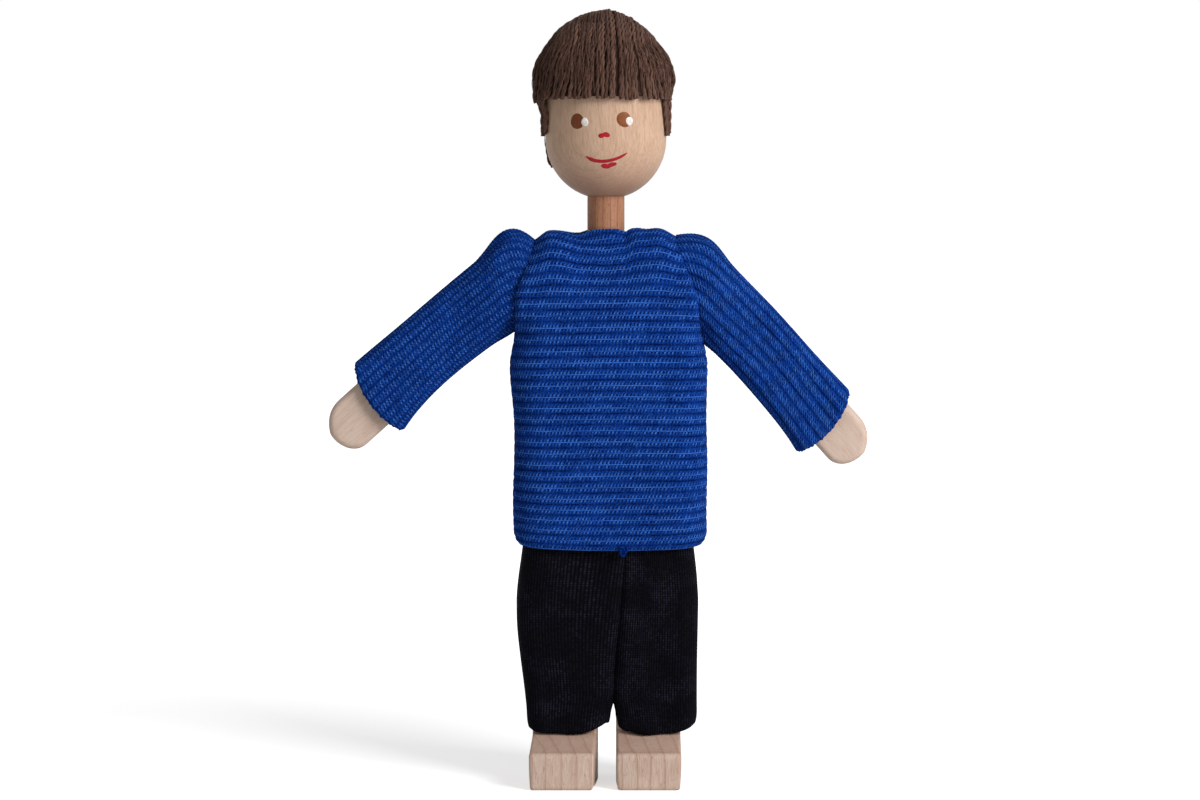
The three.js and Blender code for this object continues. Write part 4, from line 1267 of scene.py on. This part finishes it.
def trouser_shell(side, settings, seed):
    """One half of the trousers from waist to hem: level rounded oblongs that meet at the middle, with a
    drawn-in hem that is higher at its corners, soft folds and a smooth lining."""
    rows, around_count, lining_rows = 200, 200, 12
    hem = TROUSERS_LOW[2] - 0.8
    hem_turn = 3.2
    v = np.linspace(0, 1, rows)[:, None]
    around = np.linspace(0, 1, around_count, endpoint=False)[None]
    height = WAIST - v * (WAIST - hem)
    waist_half, flare, taper = 16.9, 1.5, 0.5 if side > 0 else 2.0
    outer = waist_half + flare * smoothstep(52, 36, height) - taper * smoothstep(34, 12, height)
    into_hem = np.maximum(hem + hem_turn - height, 0) / (hem_turn + 0.1)
    draw = 1 - np.sqrt(1 - into_hem**2)
    inner = 1.0 * smoothstep(19, 12.5, height) - 0.4
    half_width = (outer - inner) / 2 - 0.9 * draw
    waist_depth, seat_in, hem_in = 8.9, 0.6, 0.5
    half_depth = waist_depth - seat_in * smoothstep(60, 40, height) - hem_in * draw + 0.0 * around
    inner_quarter = (np.floor(4 * around) % 3 == 0) == (side < 0)
    outer_corner, crotch_corner, hem_more = 3.5, 1.5, 1.9
    corner = np.where(inner_quarter, crotch_corner + hem_more * smoothstep(50, 16, height), outer_corner)
    x, y = rounded_ring(half_width + 0 * around, half_depth, corner, around)
    free = smoothstep(0.3, 2.5, half_width + side * x)
    x = side * (inner + outer) / 2 + x
    front, back = smoothstep(4, -6, y), smoothstep(-4, 4, y)
    hem_lean, waist_more, offset = 1.25, 2.2, 0.35
    lean = (hem_lean + waist_more * smoothstep(16, 50, height)) * front
    lean = lean + hem_lean * back * smoothstep(30, 14, height)
    x = x + lean * np.exp(-((np.abs(x) / 7.5) ** 2)) + offset
    edge_rise = 1.7 * np.abs((np.abs(x) - 9.2) / 9) ** 3 * smoothstep(hem + 9, hem, height)
    base = np.stack([x, y, height + edge_rise], axis=-1)
    middle = np.stack([side * (inner + outer) / 2 + 0 * height, 0 * height, height], axis=-1)
    normal = outward(base, wrap_columns=True)
    normal *= np.sign(np.einsum("ijk,ijk", normal, base - middle))
    turn = FULL_TURN * around
    folds = soft_waves(26 * np.cos(turn + 0.5), 0.55 * height + 14 * np.sin(turn), seed, scale=1.4)
    folds = settings.fold / MM * folds * smoothstep(WAIST, 45, height)
    rolled = -0.35 * smoothstep(0.985, 1, v)
    skin = base + normal * (folds * free + rolled)[..., None]
    lining = base + normal * (folds * free - settings.wall / MM)[..., None]
    girth = 4 * (half_width + half_depth) - (8 - FULL_TURN) * corner
    wales = round(float(girth.mean() * MM / settings.wale))
    courses = (WAIST - height) * MM / settings.course
    wrapped = wales * np.concatenate([around, around[:, :1] + 1], axis=1) + 0 * v
    pattern = np.stack([wrapped, np.broadcast_to(courses, wrapped.shape)], axis=-1)
    return lined(skin, lining, pattern, lining_rows, wrap_columns=True)


# Operators


class DOLL_OT_wood(Operator):
    """Finish the hidden wooden solids and replace the head, neck, arms and legs with smooth ones"""

    bl_idname = "doll.make_wood"
    bl_label = "Wooden pieces"

    def execute(self, context):
        wood = context.scene.doll_wood
        brown = wood_finish(
            "brown_upright_wood", wood.brown, wood.brown_line, spacing=1.5, lines=0.85, flecks=0.75
        )
        upright = wood_finish("pale_upright_wood", wood.pale, wood.pale_line, spacing=3.1, lines=0.75)
        parts = ("shoulder_peg", "peg_keeper", "shoulder_pin")
        pairs = [f"{name}_{part}" for part in parts for name in SIDES]
        finishes = {"torso": upright, **dict.fromkeys(["hip_pin", *pairs], brown)}
        for node, finish in finishes.items():
            frame["nodes"][node].data.materials.clear()
            frame["nodes"][node].data.materials.append(finish)

        turned = wood_finish(
            "turned_head_wood", wood.turned, wood.pale_line,
            turn=(0, 0.1, 1.92), spacing=1.1, lines=0.3, flecks=0.3, end_grain=0.5,
        )
        stepped = wood_finish(
            "leg_wood", wood.pale, wood.pale_line,
            turn=(0, 0, -0.29), spacing=2.9, lines=0.6, flecks=0.5, end_grain=0.3,
        )
        profile = head_profile()
        # The head darkens towards the chin: end grain there, and painted shade under the chin.
        chin_grain_and_shade = smoothstep(0.2, 0.95, (LOWER_BALL - profile[:, 1:]) / HEAD_RADIUS)
        egg = Shell(lathe(profile, 128), wrap_columns=True, values={"end_grain": chin_grain_and_shade})
        head = make_piece("head_egg", [egg], turned, weld=True)
        dress(head, "head", "pale_wood", "head")

        low, high = NECK_LOW[2], NECK_HIGH[2]
        bevel, straight_from = 0.3, 0.4
        ends = np.array([[0, low], [NECK_RADIUS - bevel, low], [NECK_RADIUS, low + bevel]])
        rod = np.linspace([NECK_RADIUS, low + straight_from], [NECK_RADIUS, high - straight_from], 24)
        top = ends[::-1] * [1, -1] + [0, low + high]
        neck_skin = Shell(lathe(np.concatenate([ends, rod, top]), 64), wrap_columns=True)
        neck = make_piece("neck", [neck_skin], brown, weld=True)
        dress(neck, "torso", "brown_wood", "neck_dowel")

        for name, side in SIDES.items():
            below = wood.left_angle if side > 0 else wood.right_angle
            slanted = wood_finish(
                f"{name}_arm_wood", wood.pale, wood.pale_line,
                turn=(0, side * (math.pi / 2 - below), 0), spacing=5.5, lines=0.1, flecks=0.25, streaks=0.2,
            )
            arm = make_piece(f"{name}_arm_board", arm_shells(side, below, wood), slanted)
            dress(arm, f"{name}_arm", "pale_wood", f"{name}_arm")
            leg = make_piece(f"{name}_leg_board", [leg_shell(side, wood)], stepped)
            dress(leg, f"{name}_leg", "pale_wood", f"{name}_leg")
        return {"FINISHED"}


class DOLL_OT_face(Operator):
    """Paint the eyes, nose and mouth as thin raised films on the head"""

    bl_idname = "doll.paint_face"
    bl_label = "Painted face"

    def execute(self, context):
        face = context.scene.doll_face
        film = face.film / MM
        eye, tall = face.eye_width / MM / 2, face.eye_height / MM / 2
        dot = face.glint / MM / 2

        def spots(*rows, film=film):
            """Patches of paint from rows of a place, half the width, half the height and a slant."""
            return [paint_blob(place, wide, high, film, slant) for place, wide, high, slant in rows]

        nose = spots(((-0.85, 130.92), 0.74, 0.5, 0.3), ((0.1, 131.08), 0.72, 0.52, -0.25))
        lip = spots(((-0.05, 124.85), 1.0, 0.5, -0.1), ((1.15, 125.15), 1.0, 0.46, 0.3))
        glint_places = ((-4.25, 133.6), (4.6, 133.8))
        glints = spots(*((place, dot, 1.25 * dot, 0) for place in glint_places), film=2 * film)
        smile = bezier([(-3.9, 126.8), (-2.4, 125.4), (1.4, 125.4), (4.2, 127.5)], np.linspace(0, 1, 40))
        films = {
            "right_eye": (spots(((-5.7, 133.75), 1.04 * eye, tall, -0.14)), face.brown),
            # The left eye's lighter brown is thinner paint and partly painted light on the lit side of the
            # face.
            "left_eye": (spots(((3.55, 134.1), 1.1 * eye, tall, 0.1)), face.thin_lit_eye_brown),
            "eye_glints": (glints, face.white),
            "nose_and_mouth": ([*nose, paint_stroke(smile, face.mouth / MM, film), *lip], face.red),
        }
        for name, (blobs, tone) in films.items():
            piece = make_piece(f"painted_{name}", blobs, paint_finish(f"{name}_paint", tone), weld=True)
            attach(piece, "head")
        return {"FINISHED"}


class DOLL_OT_hair(Operator):
    """Lay twisted yarn strands over the head: fringe, back and two side locks on a dark cap of painted
    shade
    """

    bl_idname = "doll.lay_hair"
    bl_label = "Yarn hair"

    def execute(self, context):
        hair = context.scene.doll_hair
        yarn = yarn_finish("brown_yarn", hair)
        rng = np.random.default_rng(7)
        count = hair.strands
        ply, pitch = hair.ply / MM, hair.pitch / MM
        over_radius, close_radius = HAIR_RADIUS - ply, HEAD_RADIUS + ply
        azimuth = np.radians(np.linspace(-94, 94, count)) + rng.normal(0, 0.007, count)

        def laid(name, azimuth, end, steps, node, radius=over_radius, skip=0, fibres=0):
            """Lays one group of strands, each with its own drift and lean, and loose fibres on it."""
            phase = rng.uniform(0, FULL_TURN, len(azimuth))
            tone = rng.uniform(0, 1, len(azimuth))
            path, normal = strand_paths(azimuth, end, radius, hair, steps)
            drift, speed, lean = rng.normal((0, 7, 0), (0.13, 2, 0.3), (len(azimuth), 3)).T[..., None, None]
            run = np.linspace(0, 1, steps)[:, None]
            wander = 0.2 * np.sin(speed * run + 3 * phase[:, None, None])
            path = path + normal * (drift + 0.4 * wander) * smoothstep(0.02, 0.14, run)
            path = path + np.cross(normal, np.array([0, 0, 1.0])) * (wander + lean * run**3)
            shells = [strands(path[:, skip:], normal[:, skip:], ply, pitch, phase, tone)]
            if fibres:
                near = rng.integers(0, len(azimuth), fibres)
                loose = azimuth[near] + rng.normal(0, 0.02, fibres)
                shells.append(loose_fibres(loose, end[near], radius + 0.36, hair, rng))
            dress(make_piece(name, shells, yarn), "head", "brown_yarn", node)

        below_edge = 0.4
        trim = FRINGE_EDGE + rng.normal(0, 0.13, count)
        laid("hair_fringe_strands", azimuth, trim - below_edge, 80, "hair_fringe", fibres=hair.fibres)
        behind = np.pi - azimuth
        turned = np.degrees(np.arccos(np.cos(behind)))
        short = np.where(np.sin(behind) > 0, LOCK_END, NAPE)
        lock_from, lock_to = 108, 128
        nape = np.where(turned < lock_to, short, NAPE)
        nape = np.where(turned < lock_from, FRINGE_EDGE - below_edge, nape) + rng.normal(0, 0.5, count)
        shaded_cap = make_piece("hair_shaded_cap", [shaded_hair_cap(over_radius - 0.3, hair)], yarn, weld=True)
        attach(shaded_cap, "head")
        laid("hair_back_strands", behind, nape, 116, "hair_back", fibres=hair.fibres)
        for name, side in SIDES.items():
            at = side * np.radians(np.linspace(72, lock_from, hair.lock_strands))
            end = LOCK_END + 2.5 * np.linspace(-0.4, 1, len(at)) ** 4 + rng.normal(0, 0.3, len(at))
            laid(f"hair_{name}_lock_strands", at, end, 90, f"hair_{name}_lock", close_radius, 40)
        return {"FINISHED"}


class DOLL_OT_sweater(Operator):
    """Knit the sweater: front, back and two sleeves"""

    bl_idname = "doll.knit_sweater"
    bl_label = "Sweater"

    def execute(self, context):
        knit, wood = context.scene.doll_knit, context.scene.doll_wood
        # Each part takes its own strength of painted highlight on the rib spines and of painted shade in
        # the grooves; the right sleeve, on the shaded side, has less of both.
        blue = knit_finish("blue_rib_knit", knit, spine_highlight=0.9, groove_shade=0.88)
        sleeve_blue = {
            "left": knit_finish("blue_left_sleeve_knit", knit, spine_highlight=0.6, groove_shade=0.88),
            "right": knit_finish("blue_right_sleeve_knit", knit, spine_highlight=0.4, groove_shade=0.6),
        }
        knot = make_piece("knit_hem_knot", hem_knot(knit.knot / MM), sleeve_blue["right"])
        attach(knot, "torso")
        for name, facing, tied_on in (("front", -1, [knot]), ("back", 1, [])):
            facings = [armhole_facing(side, facing, knit) for side in SIDES.values()]
            panel = make_piece(f"knit_{name}", [sweater_panel(facing, knit, 11 + facing), *facings], blue)
            dress(panel, "torso", "blue_knit", f"sweater_{name}")
        for name, side in SIDES.items():
            below = wood.left_angle if side > 0 else wood.right_angle
            ribs = knit.left_ribs if side > 0 else knit.right_ribs
            skin = sleeve_shell(name, below, ribs, knit, 21 + side)
            sleeve = make_piece(f"knit_{name}_sleeve", [skin], sleeve_blue[name])
            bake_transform(sleeve)
            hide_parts(f"{name}_sleeve")
        return {"FINISHED"}


class DOLL_OT_trousers(Operator):
    """Sew the jersey trousers in two halves"""

    bl_idname = "doll.sew_trousers"
    bl_label = "Trousers"

    def execute(self, context):
        jersey = context.scene.doll_jersey
        black = jersey_finish("black_jersey", jersey)
        for name, side in SIDES.items():
            half = make_piece(f"jersey_{name}_half", [trouser_shell(side, jersey, 31 + side)], black)
            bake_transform(half)
            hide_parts(f"trousers_{name}_leg", "trousers_seat", "trousers_waistband")
        return {"FINISHED"}


class DOLL_OT_stage(Operator):
    """Set the pale floor, the soft lights and the camera"""

    bl_idname = "doll.set_stage"
    bl_label = "Stage"

    def execute(self, context):
        stage = context.scene.doll_stage
        scene = context.scene
        scene.view_settings.view_transform = "Standard"
        white, reach = (1, 1, 1, 1), 4.0
        made = Finish("pale_floor", Roughness=0.9, Specular_IOR_Level=0.05)
        made.paint(rgba(stage.floor))
        place = made.node("ShaderNodeTexCoord").outputs["Object"]
        away = made.node("ShaderNodeVectorMath", {0: place}, operation="LENGTH").outputs["Value"]
        glow = made.times(made.seen(), made.ramp(away, 0.04, 0.4, 0.58, 1.0))
        made.feed(made.surface.inputs["Emission Color"], white)
        made.feed(made.surface.inputs["Emission Strength"], glow)
        mesh = bpy.data.meshes.new("floor")
        corners = [(x * reach, y * reach, 0) for x, y in ((-1, -1), (1, -1), (1, 1), (-1, 1))]
        mesh.from_pydata(corners, [], [(0, 1, 2, 3)])
        mesh.materials.append(made.material)
        floor = bpy.data.objects.new("floor", mesh)
        scene.collection.objects.link(floor)

        scene.world = bpy.data.worlds.new("studio")
        scene.world.use_nodes = True
        studio = NodeBench(scene.world.node_tree, "Background")
        room_light = 0.25
        level = studio.ramp(studio.seen(), 0.0, 1.0, room_light, 1.0)
        studio.feed(studio.surface.inputs["Strength"], level)
        studio.feed(studio.surface.inputs["Color"], white)

        def aimed(name, data, place, target):
            """Sets a lamp or a camera at a place, looking at a target."""
            holder = bpy.data.objects.new(name, data)
            holder.location = place
            holder.rotation_euler = (Vector(target) - Vector(place)).to_track_quat("-Z", "Y").to_euler()
            scene.collection.objects.link(holder)
            return holder

        for name, place, size, power in (
            ("key", (0.55, -0.52, 0.45), 0.4, 6.7),
            ("fill", (-0.5, -0.6, 0.3), 0.6, 0.25),
        ):
            lamp = bpy.data.lights.new(name, "AREA")
            lamp.size = size
            lamp.energy = power
            aimed(name, lamp, place, (0, 0, 0.08))

        camera = bpy.data.cameras.new("camera")
        camera.sensor_width = 36
        camera.lens = camera.sensor_width * stage.camera_distance / stage.view_width
        camera.clip_start = 0.01
        place = (stage.camera_side, -stage.camera_distance, stage.camera_height)
        scene.camera = aimed("camera", camera, place, (stage.camera_side, 0, stage.look_height))
        return {"FINISHED"}


OPERATORS = (DOLL_OT_stage, DOLL_OT_wood, DOLL_OT_face, DOLL_OT_hair, DOLL_OT_sweater, DOLL_OT_trousers)


class DOLL_PT_pieces(Panel):
    """The doll's pieces and sizes"""

    bl_label = "Wooden doll"
    bl_space_type = "VIEW_3D"
    bl_region_type = "UI"
    bl_category = "Doll"

    def draw(self, context):
        for operator in OPERATORS:
            self.layout.operator(operator.bl_idname)
        for name in SETTINGS:
            group = getattr(context.scene, name)
            column = self.layout.column()
            for field in group.bl_rna.properties.keys()[2:]:
                column.prop(group, field)


def register():
    for group in SETTINGS.values():
        bpy.utils.register_class(group)
    for name, group in SETTINGS.items():
        setattr(bpy.types.Scene, name, PointerProperty(type=group))
    for each in (*OPERATORS, DOLL_PT_pieces):
        bpy.utils.register_class(each)


def unregister():
    for each in reversed((*OPERATORS, DOLL_PT_pieces)):
        bpy.utils.unregister_class(each)
    for name, group in SETTINGS.items():
        delattr(bpy.types.Scene, name)
        bpy.utils.unregister_class(group)


def main():
    """Builds everything in order."""
    register()
    for operator in OPERATORS:
        group, action = operator.bl_idname.split(".")
        getattr(getattr(bpy.ops, group), action)()


if __name__ == "__main__":
    main()
